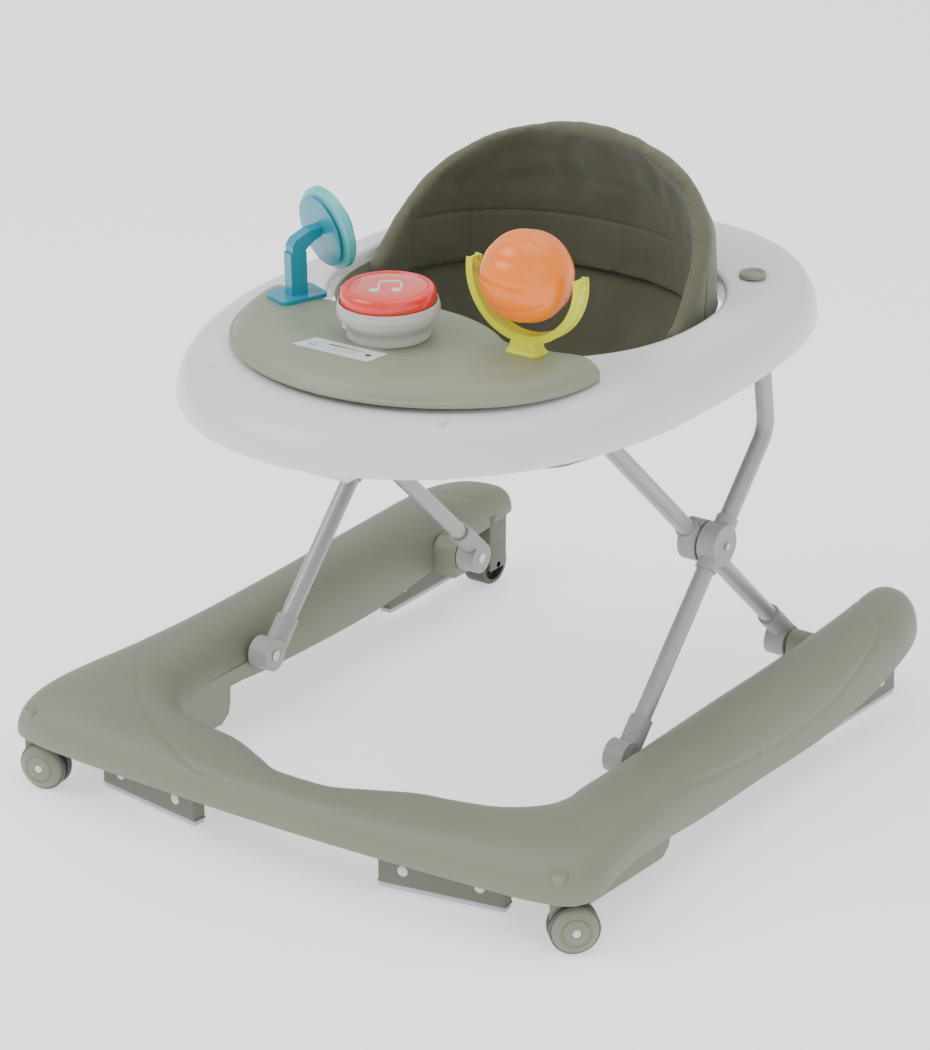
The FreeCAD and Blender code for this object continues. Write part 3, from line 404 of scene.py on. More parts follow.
for side in (-1, 1):
    rear_crease = [
        (0.38, 0.36, 0), (0.42, 0.32, 0.4), (0.475, 0.22, 0.8), (0.55, 0.15, 1), (0.64, 0.105, 1),
        (0.715, 0.11, 1), (0.77, 0.14, 1), (0.805, 0.18, 1), (0.84, 0.23, 1), (0.868, 0.3, 1),
        (0.879, 0.39, 1), (0.884, 0.48, 1), (0.905, 0.66, 1), (0.92, 0.8, 0.5),
    ]
    carve(base, surface_path(side, rear_crease), 0.0024, 0.0012)
front_crease = [
    (-0.42, 0.46, 0), (-0.37, 0.52, 0.6), (-0.30, 0.63, 1), (-0.24, 0.57, 1), (-0.15, 0.39, 1),
    (-0.095, 0.26, 1), (-0.05, 0.25, 1), (0, 0.25, 0.9), (0.05, 0.27, 0.6), (0.11, 0.36, 0),
]
carve(base, surface_path(1, front_crease), 0.0026, 0.0013)
outward(base)
sage = moulded(
    "sage_base_plastic", (0.19, 0.215, 0.152), 0.5, grain=1800, depth=0.35, mottle=0.03, dust=0.02,
    rub=0.02,
)
wear(base, sage)
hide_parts("base_shell")
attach(base, "base")

# ---------------------------------------------------------------- rails, sockets and leg mounts
# Plain ribbed mouldings in the same sage plastic, screwed up into the hollow arms.
# The rail's slot guides the front feet as the legs fold.
finish_nodes(
    sage, "caster_sockets", "left_rear_leg_mount", "right_rear_leg_mount", "left_slide_rail",
    "right_slide_rail",
)

# ---------------------------------------------------------------- anti-fall stoppers
# Four dark sage holders hang below the base, each with a pale rubber strip along its lower edge.
# Two round white pegs show on each face of a holder.


def block(name, low, high, bevel, segments=3):
    """A box between two corners with rounded edges."""
    low, high = Vector(low), Vector(high)
    bpy.ops.mesh.primitive_cube_add(size=1, location=(low + high) / 2, scale=high - low)
    made = bpy.context.object
    made.name = name
    bpy.ops.object.transform_apply(location=True, rotation=True, scale=True)
    modify(made, "BEVEL", width=bevel, segments=segments, limit_method="NONE")
    return outward(made)


def turn_about(thing, degrees, axis, centre):
    pick(thing)
    bpy.ops.transform.rotate(value=-math.radians(degrees), orient_axis=axis, center_override=centre)
    bpy.ops.object.transform_apply(location=True, rotation=True, scale=True)
    return thing


def lathe(name, profile, centre, axis=(0, 0, 1), steps=64):
    """A turned piece: (radius, height) points spun about an axis through the centre."""
    mesh = bpy.data.meshes.new(name)
    mesh.from_pydata([(r, 0, h) for r, h in profile], [(i, i + 1) for i in range(len(profile) - 1)], [])
    made = bpy.data.objects.new(name, mesh)
    bpy.context.collection.objects.link(made)
    pick(made)
    bpy.ops.object.mode_set(mode="EDIT")
    bpy.ops.mesh.select_all(action="SELECT")
    bpy.ops.mesh.spin(steps=steps, angle=2 * math.pi, center=(0, 0, 0), axis=(0, 0, 1))
    bpy.ops.mesh.select_all(action="SELECT")
    bpy.ops.mesh.remove_doubles(threshold=0.00001)
    bpy.ops.object.mode_set(mode="OBJECT")
    turn = Vector((0, 0, 1)).rotation_difference(Vector(axis)).to_matrix().to_4x4()
    made.data.transform(Matrix.Translation(Vector(centre)) @ turn)
    return outward(made)


def joined(name, *things):
    pick(things[0])
    for thing in things:
        thing.select_set(True)
    bpy.ops.object.join()
    things[0].name = name
    return things[0]


dark_sage = moulded(
    "sage_stopper_plastic", (0.12, 0.135, 0.098), 0.55, grain=1800, depth=0.3, mottle=0.04, dust=0.03,
    rub=0.03,
)
strip_rubber = moulded(
    "pale_strip_rubber", (0.50, 0.51, 0.56), 0.6, grain=2200, depth=0.3, mottle=0.04, dust=0.08, rub=0,
)
peg_white = moulded("white_peg_plastic", (0.66, 0.66, 0.64), 0.45, mottle=0.02, dust=0, rub=0)
strips = []
pegs = []
for name, x, y, heading, low, top in (
    ("front_left", -0.157, -0.296, -9.5, 0.0135, 0.0620),
    ("front_right", 0.157, -0.296, 9.5, 0.0135, 0.0620),
    ("rear_left", -0.246, 0.229, 91, 0.0125, 0.0740),
    ("rear_right", 0.246, 0.229, 89, 0.0125, 0.0740),
):
    here = (x, y, 0)
    web = block(
        f"{name}_stopper_holder", (x - 0.06, y - 0.007, low), (x + 0.06, y + 0.007, top - 0.004),
        0.0022,
    )
    plate = block("plate", (x - 0.028, y - 0.028, top - 0.0045), (x + 0.028, y + 0.028, top - 0.0005), 0.001)
    lip = block("lip", (x - 0.0605, y - 0.0066, low - 0.0002), (x + 0.0605, y + 0.0066, low + 0.0022), 0.0008)
    holder = turn_about(joined(f"{name}_stopper_holder", web, plate, lip), heading, "Z", here)
    wear(holder, dark_sage)
    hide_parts(f"{name}_stopper")
    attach(holder, "base")
    strips.append(
        turn_about(
            block(
                "strip", (x - 0.0595, y - 0.0064, low - 0.005), (x + 0.0595, y + 0.0064, low + 0.0004),
                0.0016,
            ),
            heading, "Z", here,
        )
    )
    for along in (-0.036, 0.036):
        for face in (-1, 1):
            peg = lathe(
                "peg", [(0, 0.0012), (0.0034, 0.0011), (0.0048, 0.0004), (0.005, -0.001), (0, -0.001)],
                (x + along, y + face * 0.0071, 0.028), (0, face, 0), steps=28,
            )
            pegs.append(turn_about(peg, heading, "Z", here))
grips = joined("stopper_rubber_strips", *strips)
wear(grips, strip_rubber)
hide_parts("stopper_grips")
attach(grips, "base")
dots = joined("stopper_white_pegs", *pegs)
wear(dots, peg_white)
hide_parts("stopper_pegs")
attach(dots, "base")

# ---------------------------------------------------------------- casters
# Each front caster is a sage fork and stem in one moulding, with dark tyres between two domed covers.
# A ring is moulded round each dome and a white cap closes its hub.
tyre_dark = moulded(
    "dark_wheel_plastic", (0.045, 0.048, 0.034), 0.5, grain=900, depth=0.5, mottle=0.08, dust=0.15,
    rub=0.08,
)
finish_nodes(tyre_dark, "left_caster_wheel", "right_caster_wheel")
finish_nodes(sage, "left_caster_fork", "right_caster_fork")
for side, turned in (("left", 10), ("right", 45)):
    low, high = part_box(f"{side}_caster_covers")
    centre = (low + high) / 2
    heading = math.radians(turned)
    axle = Vector((math.sin(heading), -math.cos(heading), 0))
    domes = []
    caps = []
    for face in (-1, 1):
        out = axle * face
        dome = [
            (0.0042, 0.0132), (0.0042, 0.0152), (0.0070, 0.0150), (0.0112, 0.0140), (0.0120, 0.0128),
            (0.0130, 0.0128), (0.0140, 0.0134), (0.0172, 0.0118), (0.0196, 0.0098), (0.0205, 0.0080),
            (0.0203, 0.0066), (0.0120, 0.0062), (0.0042, 0.0062),
        ]
        domes.append(lathe("dome", dome, centre, out))
        caps.append(
            lathe(
                "cap", [(0, 0.0158), (0.0026, 0.0156), (0.0038, 0.0148), (0.0040, 0.0136), (0, 0.0136)],
                centre, out, steps=32,
            )
        )
    cover = joined(f"{side}_caster_domes", *domes)
    wear(cover, sage)
    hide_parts(f"{side}_caster_covers")
    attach(cover, f"{side}_caster_wheel")
    cap = joined(f"{side}_caster_hub_caps", *caps)
    wear(cap, peg_white)
    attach(cap, f"{side}_caster_wheel")

# ---------------------------------------------------------------- rear wheels
# Two fixed dark wheels with five holes each run on steel axles between sage ears under the arm tips.
finish_nodes(tyre_dark, "left_rear_wheel", "right_rear_wheel")
for side in ("left", "right"):
    low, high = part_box(f"{side}_rear_wheel_bracket")
    wheel_low, wheel_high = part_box(f"{side}_rear_wheel")
    middle_y = (wheel_low.y + wheel_high.y) / 2
    hood = block("hood", (low.x, low.y, wheel_high.z + 0.002), high, 0.0015)
    ears = []
    for ear_low, ear_high in ((low.x, wheel_low.x - 0.001), (wheel_high.x + 0.001, high.x)):
        ears.append(
            block(
                "ear", (ear_low, middle_y - 0.0135, low.z + 0.004),
                (ear_high, middle_y + 0.0135, wheel_high.z + 0.004), 0.001,
            )
        )
    housing = joined(f"{side}_rear_wheel_housing", hood, *ears)
    wear(housing, dark_sage)
    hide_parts(f"{side}_rear_wheel_bracket")
    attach(housing, "base")
zinc = moulded(
    "zinc_plated_steel", (0.52, 0.52, 0.51), 0.35, grain=2600, depth=0.1, mottle=0.06, dust=0.03,
    rub=0.1, metallic=1, edge=0.0004,
)
finish_nodes(zinc, "rear_axles", "rear_leg_pins", "front_slide_pins", "pivot_rivets", "tray_hinge_pins")

# ---------------------------------------------------------------- legs
# Two crossing pairs of bent steel tube, powder coated silver grey; the rear pair is one piece under the tray.
# Grey moulded clamps hold each crossing and grey feet end each tube.
tube_paint = moulded(
    "silver_grey_powder_coat", (0.36, 0.365, 0.36), 0.38, grain=2600, depth=0.12, mottle=0.03,
    dust=0.03, rub=0.05, metallic=0.35,
)
finish_nodes(tube_paint, "rear_leg_frame", "left_front_leg", "right_front_leg")
grey = moulded(
    "grey_joint_plastic", (0.315, 0.325, 0.315), 0.5, grain=1800, depth=0.3, mottle=0.03, dust=0.03,
    rub=0.05,
)
for part in ("inner_pivot_clamp", "outer_pivot_clamp", "front_foot", "rear_foot"):
    finish_nodes(grey, f"left_{part}", f"right_{part}")

# ---------------------------------------------------------------- tray
# A wide oval ring moulded in glossy white plastic: a rolled rim, a nearly flat top and a collar for the seat.
# Two shallow dishes hold sage plugs at the rear, and a shallow finger dip lies in the rim beside the toy tray.
tray_half = min(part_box("tray_shell")[1].x, 0.2325)
tray_middle = -0.041


def egg_ring(half_width, middle, front, rear, inset, height, slope, blunt_front, blunt_rear, count=160):
    """A closed egg outline, blunter at the rear, on a plane that rises to the rear by slope."""
    ring = []
    for i in range(count):
        angle = 2 * math.pi * i / count
        power = 2 / (blunt_rear if math.sin(angle) > 0 else blunt_front)
        reach = rear if math.sin(angle) > 0 else front
        x = math.copysign(abs(math.cos(angle)) ** power, math.cos(angle)) * (half_width - inset)
        y = middle + math.copysign(abs(math.sin(angle)) ** power, math.sin(angle)) * (reach - inset)
        ring.append(Vector((x, y, height + slope * y)))
    return ring


tray_top = 0.423
tray_rise = 0.03
rim_front, rim_rear = 0.282, 0.362
collar_middle = 0.050
rings = []
for inset, below, level in (
    (0.0030, 0.0480, 0.25), (0.0010, 0.0470, 0.27), (0.0001, 0.0440, 0.3), (0.0006, 0.0390, 0.4),
    (0.0017, 0.0330, 0.5), (0.0037, 0.0265, 0.6), (0.0066, 0.0207, 0.7), (0.0100, 0.0155, 0.8),
    (0.0144, 0.0110, 0.9), (0.0200, 0.0072, 0.95), (0.0272, 0.0042, 1.0), (0.0370, 0.0020, 1.0),
    (0.0480, 0.0008, 1.0),
):
    rings.append(
        egg_ring(
            tray_half, tray_middle, rim_front, rim_rear, inset, tray_top - below, tray_rise * level,
            2.03, 3.0,
        )
    )
edge_ring = rings[-1]
lip = egg_ring(0.175, collar_middle, 0.160, 0.160, -0.0065, tray_top, tray_rise, 2.2, 2.2)
for step in range(1, 9):
    rings.append([a.lerp(b, step / 8) for a, b in zip(edge_ring, lip)])
for inset, below in (
    (-0.0040, 0.0005), (-0.0020, 0.0018), (-0.0008, 0.0040), (-0.0003, 0.0080), (-0.0003, 0.0250),
    (-0.0028, 0.0258), (-0.0030, 0.0060),
):
    rings.append(egg_ring(0.175, collar_middle, 0.160, 0.160, inset, tray_top - below, tray_rise, 2.2, 2.2))
under = egg_ring(tray_half, tray_middle, rim_front, rim_rear, 0.044, tray_top - 0.0042, tray_rise, 2.03, 3.0)
inner_lip = rings[-1]
rings += [[a.lerp(b, share) for a, b in zip(inner_lip, under)] for share in (0.5, 1.0)]
for inset, below, level in (
    (0.0200, 0.0120, 1.0), (0.0095, 0.0240, 0.7), (0.0040, 0.0380, 0.5), (0.0036, 0.0470, 0.27),
):
    rings.append(
        egg_ring(
            tray_half, tray_middle, rim_front, rim_rear, inset, tray_top - below, tray_rise * level,
            2.03, 3.0,
        )
    )
tray = skin("tray_ring", rings, close=True)
outward(tray, angle=60)
modify(tray, "SUBSURF", levels=1, render_levels=1)


def dish(thing, centre, inner, outer, depth, stretch=1.0):
    """Lowers the skin round a point by depth inside inner, easing back to nothing at outer."""
    for vertex in thing.data.vertices:
        gap = math.hypot(vertex.co.x - centre[0], (vertex.co.y - centre[1]) / stretch)
        if gap < outer and vertex.co.z > centre[2] - 0.012:
            ease = min(1, (outer - gap) / (outer - inner))
            vertex.co.z -= depth * ease * ease * (3 - 2 * ease)


dish(tray, (-0.1535, -0.2180, 0.4150), 0.0060, 0.0240, 0.0040, stretch=0.7)
for side in (-1, 1):
    dish(tray, (side * 0.154, 0.182, 0.4285), 0.0145, 0.0185, 0.0018)
white_gloss = moulded(
    "white_tray_plastic", (0.74, 0.75, 0.76), 0.3, grain=2400, depth=0.06, mottle=0.012, dust=0.02,
    rub=0, coat=0.15,
)
wear(tray, white_gloss)
outward(tray, angle=50)
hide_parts("tray_shell")
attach(tray, "tray")
finish_nodes(
    white_gloss, "left_hinge_bracket", "right_hinge_bracket", "left_slide_track", "right_slide_track",
    "latch_catch",
)

# ---------------------------------------------------------------- tray plugs
# Small domed sage discs snap into the dishes in the tray's rear corners.
toy_sage = moulded(
    "sage_toy_tray_plastic", (0.245, 0.275, 0.195), 0.42, grain=1800, depth=0.2, mottle=0.025,
    dust=0.02, rub=0.02,
)
for side, name in ((-1, "left"), (1, "right")):
    low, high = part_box(f"{name}_tray_plug")
    centre = ((low.x + high.x) / 2, (low.y + high.y) / 2, high.z - 0.002)
    profile = [
        (0, 0.0002), (0.0062, 0.0001), (0.0072, -0.0006), (0.0080, 0.0004), (0.0105, 0.0015),
        (0.0120, 0.0008), (0.0124, -0.0022), (0.0088, -0.0030), (0, -0.0035),
    ]
    plug = lathe(f"{name}_tray_plug_cap", profile, centre, (0, -tray_rise, 1))
    wear(plug, toy_sage)
    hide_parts(f"{name}_tray_plug")
    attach(plug, "tray")

# ---------------------------------------------------------------- height latch
# A white box screwed under the tray's front, slotted for the leg tube.
# Its sprung catch is pulled forward to fold the legs.
finish_nodes(white_gloss, "latch_housing")

# ---------------------------------------------------------------- toy tray
# A crescent moulded in satin sage plastic: a thin flange all round and a raised panel behind a domed front.
# It clips on the front of the white tray and carries the three toys.
lean = math.atan(tray_rise)
toy_floor = 0.4233


def on_tray(x, y, height):
    """A point given in the toy tray's own plan, in the shared frame."""
    return Vector(
        (
            x, y * math.cos(lean) - height * math.sin(lean),
            toy_floor + y * math.sin(lean) + height * math.cos(lean),
        )
    )


def arc_through(first, middle, last, count=40):
    ax, ay = first
    bx, by = middle
    cx, cy = last
    twice = 2 * (ax * (by - cy) + bx * (cy - ay) + cx * (ay - by))
    a2, b2, c2 = ax * ax + ay * ay, bx * bx + by * by, cx * cx + cy * cy
    ux = (a2 * (by - cy) + b2 * (cy - ay) + c2 * (ay - by)) / twice
    uy = (a2 * (cx - bx) + b2 * (ax - cx) + c2 * (bx - ax)) / twice
    radius = math.hypot(ax - ux, ay - uy)
    start = math.atan2(ay - uy, ax - ux)
    mid = math.atan2(by - uy, bx - ux) - start
    end = math.atan2(cy - uy, cx - ux) - start
    mid = math.remainder(mid, 2 * math.pi)
    end = math.remainder(end, 2 * math.pi)
    if end * mid < 0:
        end += math.copysign(2 * math.pi, mid)
    return [
        (ux + radius * math.cos(start + end * i / count), uy + radius * math.sin(start + end * i / count))
        for i in range(count)
    ]


def softened(points, spacing, window):
    """A closed outline resampled evenly and averaged over a window, which rounds its corners."""
    reach = [0.0]
    loop = points + points[:1]
    for a, b in zip(loop, loop[1:]):
        reach.append(reach[-1] + math.dist(a, b))
    count = round(reach[-1] / spacing)
    even = []
    k = 0
    for i in range(count):
        along = reach[-1] * i / count
        while reach[k + 1] < along:
            k += 1
        t = (along - reach[k]) / (reach[k + 1] - reach[k])
        even.append(
            (loop[k][0] + (loop[k + 1][0] - loop[k][0]) * t, loop[k][1] + (loop[k + 1][1] - loop[k][1]) * t)
        )
    span = round(window / spacing / 2)
    made = []
    for i in range(count):
        near = [even[(i + d) % count] for d in range(-span, span + 1)]
        made.append((sum(p[0] for p in near) / len(near), sum(p[1] for p in near) / len(near)))
    return made


crescent = []
for run in (
    ((0.181, -0.098), (0.176, -0.152), (0.149, -0.202)),
    ((0.149, -0.202), (0.012, -0.2655), (-0.135, -0.204)),
    ((-0.135, -0.204), (-0.163, -0.155), (-0.173, -0.098)),
    ((-0.173, -0.098), (-0.135, -0.109), (-0.090, -0.113)),
    ((-0.090, -0.113), (0.001, -0.079), (0.092, -0.114)),
    ((0.092, -0.114), (0.139, -0.110), (0.181, -0.098)),
):
    crescent += arc_through(*run)
outline = softened(crescent, 0.002, 0.016)
count = len(outline)
right_tip = max(range(count), key=lambda i: outline[i][0] + 0.7 * outline[i][1])
left_tip = max(range(count), key=lambda i: -outline[i][0] + 0.7 * outline[i][1])
front_run = [outline[(right_tip + i) % count] for i in range((left_tip - right_tip) % count + 1)]
back_run = [outline[(right_tip - i) % count] for i in range((right_tip - left_tip) % count + 1)]
columns, rows = 200, 56


def resampled(points, number):
    last = len(points) - 1
    made = []
    for i in range(number):
        place = last * i / (number - 1)
        k = min(int(place), last - 1)
        a, b = points[k], points[k + 1]
        made.append((a[0] + (b[0] - a[0]) * (place - k), a[1] + (b[1] - a[1]) * (place - k)))
    return made


front_edge = resampled(front_run, columns)
back_edge = resampled(back_run, columns)


def profile_height(table, gap):
    """Height at a distance from the edge, read off a table with straight runs between its rows."""
    for (d0, z0), (d1, z1) in zip(table, table[1:]):
        if gap <= d1:
            return z0 + (z1 - z0) * max(0, gap - d0) / (d1 - d0)
    return table[-1][1]


front_profile = [
    (0, 0.0065), (0.0008, 0.0073), (0.0030, 0.0078), (0.0038, 0.0086), (0.0050, 0.0108),
    (0.0070, 0.0133), (0.0100, 0.0157), (0.0140, 0.0177), (0.0190, 0.0192), (0.0260, 0.0201),
    (0.0360, 0.0204),
]
back_profile = [(0, 0.0165), (0.0006, 0.0184), (0.0018, 0.0196), (0.0035, 0.0202), (0.0060, 0.0204)]


def panel_height(x, y):
    """The raised panel: flat along its rear, falling to the front, with slanting ends."""
    across = min((x + 0.070) / 0.016, (0.050 - x) / 0.012)
    behind = (-0.186 - y) / 0.010
    front = (y + 0.2560) / 0.026
    return 0.0030 * max(0, min(1, across)) * max(0, min(1, behind)) * max(0, min(1, front))


top_rows = []
for j in range(rows + 1):
    share = 0.5 - 0.5 * math.cos(math.pi * j / rows)
    row = []
    for (fx, fy), (bx, by) in zip(front_edge, back_edge):
        x, y = fx + (bx - fx) * share, fy + (by - fy) * share
        front_gap = min(math.dist((x, y), p) for p in front_edge)
        back_gap = min(math.dist((x, y), p) for p in back_edge)
        height = min(profile_height(front_profile, front_gap), profile_height(back_profile, back_gap))
        row.append(on_tray(x, y, height + panel_height(x, y)))
    top_rows.append(row)
toy_tray = skin("toy_tray_shell", top_rows, wrap=False)
bpy.ops.object.mode_set(mode="EDIT")
bpy.ops.mesh.select_all(action="SELECT")
bpy.ops.mesh.remove_doubles(threshold=0.00005)
bpy.ops.mesh.select_all(action="DESELECT")
bpy.ops.mesh.select_non_manifold()
bpy.ops.mesh.extrude_region_move(TRANSFORM_OT_translate={"value": (0, 0, -0.002)})
bpy.ops.transform.resize(value=(1, 1, 0), center_override=(0, 0, 0.4195), orient_type="GLOBAL")
bpy.ops.mesh.edge_face_add()
bpy.ops.object.mode_set(mode="OBJECT")
outward(toy_tray, angle=30)
wear(toy_tray, toy_sage)
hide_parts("toy_tray")
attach(toy_tray, "toy_tray")

# ---------------------------------------------------------------- sticker
# A thin printed label on the raised panel, with plain picture marks instead of words.


def tile(name, corners, height):
    """A thin flat plate with the given corners in the toy tray's plan, lying on the raised panel."""
    lower = [on_tray(x, y, 0.0204 + panel_height(x, y) - 0.0004) for x, y in corners]
    upper = [on_tray(x, y, 0.0204 + panel_height(x, y) + height) for x, y in corners]
    made = skin(name, [lower, upper])
    bpy.ops.object.mode_set(mode="EDIT")
    bpy.ops.mesh.select_all(action="DESELECT")
    bpy.ops.mesh.select_non_manifold()
    bpy.ops.mesh.fill()
    bpy.ops.object.mode_set(mode="OBJECT")
    return outward(made, smooth=False)


def spot(x, y, radius):
    return [
        (x + radius * math.cos(math.tau * i / 16), y + radius * 0.8 * math.sin(math.tau * i / 16))
        for i in range(16)
    ]


label_print = moulded(
    "label_paper", (0.62, 0.67, 0.66), 0.35, grain=3000, depth=0.03, mottle=0.01, dust=0, rub=0,
)
ink_dark = moulded(
    "label_dark_ink", (0.06, 0.075, 0.08), 0.4, grain=3000, depth=0.03, mottle=0.02, dust=0, rub=0,
)
ink_yellow = moulded(
    "label_yellow_ink", (0.78, 0.56, 0.05), 0.4, grain=3000, depth=0.03, mottle=0.02, dust=0, rub=0,
)
label = tile(
    "toy_tray_label", [(-0.052, -0.2235), (0.027, -0.2235), (0.031, -0.1995), (-0.043, -0.2005)],
    0.00015,
)
wear(label, label_print)
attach(label, "toy_tray")
marks = [
    ("label_mark_ring", spot(-0.037, -0.2125, 0.0045), ink_dark),
    ("label_mark_centre", spot(-0.037, -0.2125, 0.0030), label_print),
    ("label_mark_bar", [(-0.024, -0.2085), (0.010, -0.2075), (0.010, -0.2060), (-0.024, -0.2070)], ink_dark),
    (
        "label_mark_stripe", [(-0.016, -0.2150), (0.004, -0.2145), (0.004, -0.2128), (-0.016, -0.2133)],
        ink_yellow,
    ),
    ("label_mark_dot", spot(0.019, -0.2110, 0.0028), ink_dark),
]
for layer, (name, corners, ink) in enumerate(marks):
    mark = tile(name, corners, 0.00025 + 0.00004 * layer)
    wear(mark, ink)
    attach(mark, "toy_tray")

# ---------------------------------------------------------------- drum toy
# A grey drum on a flared foot with a glossy red push top; a clear disc in the top shows a plain music note.
# A small switch slides on its side.
drum_axis = Vector((0, -math.sin(lean), math.cos(lean)))
drum_foot = on_tray(0, -0.155, 0.020)
drum_grey = moulded(
    "light_grey_toy_plastic", (0.50, 0.505, 0.475), 0.35, mottle=0.02, dust=0.02, rub=0, coat=0.15,
)
toy_red = moulded(
    "red_toy_plastic", (0.80, 0.035, 0.02), 0.22, grain=2600, depth=0.05, mottle=0.02, dust=0, rub=0,
    coat=0.4,
)
drum_profile = [
    (0, 0), (0.0345, 0), (0.0360, 0.0012), (0.0362, 0.0030), (0.0352, 0.0055), (0.0350, 0.0085),
    (0.0360, 0.0108), (0.0385, 0.0132), (0.0415, 0.0160), (0.0434, 0.0190), (0.0443, 0.0222),
    (0.0444, 0.0236), (0.0439, 0.0240), (0.0444, 0.0245), (0.0443, 0.0275), (0.0436, 0.0305),
    (0.0428, 0.0325), (0.0421, 0.0325), (0.0421, 0.0275), (0, 0.0275),
]
drum = lathe("drum_shell", drum_profile, drum_foot, drum_axis, steps=96)
wear(drum, drum_grey)
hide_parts("drum_body")
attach(drum, "toy_tray")
button_profile = [
    (0, 0.0310), (0.0405, 0.0310), (0.0413, 0.0335), (0.0413, 0.0385), (0.0406, 0.0415),
    (0.0390, 0.0436), (0.0366, 0.0446), (0.0350, 0.0443), (0.0342, 0.0434), (0.0338, 0.0430),
    (0.0200, 0.0436), (0, 0.0438),
]
button = lathe("drum_push_top", button_profile, drum_foot, drum_axis, steps=96)
wear(button, toy_red)
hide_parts("drum_button")
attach(button, "drum_button")
lens_red = moulded(
    "clear_red_disc", (0.80, 0.075, 0.05), 0.12, grain=2600, depth=0.02, mottle=0.02, dust=0, rub=0,
    coat=0.6,
)
lens = lathe(
    "drum_clear_disc",
    [(0.0334, 0.0428), (0.0334, 0.0438), (0.0326, 0.0441), (0.0200, 0.0445), (0, 0.0446), (0, 0.0430)],
    drum_foot, drum_axis, steps=72,
)
wear(lens, lens_red)
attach(lens, "drum_button")
note_ink = moulded(
    "note_pale_ink", (0.66, 0.62, 0.62), 0.3, grain=2600, depth=0.02, mottle=0.01, dust=0, rub=0,
)
note_parts = []
for head in (-0.0115, 0.0075):
    bpy.ops.mesh.primitive_cylinder_add(vertices=28, radius=0.0046, depth=0.0005, location=(head, -0.0105, 0))
    note_parts.append(bpy.context.object)
    note_parts.append(
        block("stem", (head + 0.0030, -0.0105, -0.00025), (head + 0.0048, 0.0120, 0.00025), 0.0001, 1)
    )
note_parts.append(block("beam", (-0.0085, 0.0085, -0.00025), (0.0123, 0.0120, 0.00025), 0.0001, 1))
note = joined("drum_music_note", *note_parts)
pick(note)
bpy.ops.object.transform_apply(location=True, rotation=True, scale=True)
note.data.transform(
    Matrix.Translation(
        drum_foot + drum_axis * 0.0446
    ) @ Matrix.Rotation(lean, 4, "X") @ Matrix.Rotation(math.radians(35), 4, "Z")
)
outward(note, smooth=False)
wear(note, note_ink)
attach(note, "drum_button")
finish_nodes(drum_grey, "drum_switch")

# ---------------------------------------------------------------- mirror toy
# A teal post on a flat foot holds a spinning disc that faces the child.
# The disc is light teal, with a teal plate on its back and a teal hub knob.
teal = moulded(
    "teal_toy_plastic", (0.008, 0.27, 0.38), 0.28, grain=2400, depth=0.06, mottle=0.02, dust=0, rub=0,
    coat=0.2,
)
light_teal = moulded(
    "light_teal_toy_plastic", (0.11, 0.52, 0.55), 0.28, grain=2400, depth=0.06, mottle=0.02, dust=0,
    rub=0, coat=0.2,
)
finish_nodes(teal, "mirror_stem", "mirror_face", "mirror_knob")
finish_nodes(light_teal, "mirror_disc")
turned, raised = math.radians(68), math.radians(11)
mirror_axis = Vector(
    (math.cos(turned) * math.cos(raised), math.sin(turned) * math.cos(raised), math.sin(raised))
)
mirror_axis = Matrix.Rotation(lean, 3, "X") @ mirror_axis
low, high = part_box("mirror_disc")
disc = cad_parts["mirror_disc"]
points = [disc.matrix_world @ vertex.co for vertex in disc.data.vertices]
depths = [(point - (low + high) / 2).dot(mirror_axis) for point in points]
plate_profile = [(0, 0.0006), (0.0300, 0.0006), (0.0325, 0.0003), (0.0330, -0.0006), (0, -0.0006)]
plate = lathe(
    "mirror_back_plate", plate_profile, (low + high) / 2 + mirror_axis * min(depths), -mirror_axis,
    steps=72,
)
wear(plate, teal)
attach(plate, "mirror_disc")

# ---------------------------------------------------------------- ball toy
# A bright yellow-green fork on a flared foot carries an orange fluted ball that spins between its tips.
orange = moulded(
    "orange_toy_plastic", (0.95, 0.21, 0.0), 0.3, grain=2400, depth=0.08, mottle=0.02, dust=0, rub=0,
    coat=0.15,
)
lime = moulded(
    "yellow_green_toy_plastic", (0.62, 0.68, 0.0), 0.35, grain=2400, depth=0.08, mottle=0.02, dust=0,
    rub=0, coat=0.1,
)
low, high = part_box("spin_ball")
ball_centre = (low + high) / 2
ball_radius = (high.z - low.z) / 2
ball_rings = []
for i in range(41):
    across = math.pi * (0.004 + 0.992 * i / 40)
    ring = []
    for k in range(160):
        turn = math.tau * k / 160
        lobe = abs(math.sin(5 * turn)) ** 0.55
        reach = ball_radius * math.sin(across) * (1 - 0.055 * (1 - lobe) * math.sin(across))
        ring.append(
            ball_centre + Vector(
                (-ball_radius * math.cos(across), reach * math.cos(turn), reach * math.sin(turn))
            )
        )
    ball_rings.append(ring)
ball = cap_ends(skin("fluted_ball", ball_rings))
outward(ball, angle=50)
wear(ball, orange)
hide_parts("spin_ball")
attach(ball, "spin_ball")
low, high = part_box("ball_fork")
fork_section = [
    (-0.0032, -0.0075), (0.0032, -0.0075), (0.0036, -0.0068), (0.0032, -0.0058), (0.0012, -0.0052),
    (0.0012, 0.0052), (0.0032, 0.0058), (0.0036, 0.0068), (0.0032, 0.0075), (-0.0032, 0.0075),
    (-0.0036, 0.0068), (-0.0032, 0.0058), (-0.0012, 0.0052), (-0.0012, -0.0052), (-0.0032, -0.0058),
    (-0.0036, -0.0068),
]
fork_radius = (high.x - low.x) / 2 - 0.0036
fork_rings = []
for i in range(61):
    turn = math.radians(172 + 196 * i / 60)
    ring = []
    for out, across in fork_section:
        reach = fork_radius + out
        ring.append(ball_centre + Vector((reach * math.cos(turn), across, reach * math.sin(turn))))
    fork_rings.append(ring)
arc = cap_ends(skin("fork_arc", fork_rings))
outward(arc)
foot_rings = []
foot_top = ball_centre.z - fork_radius + 0.001
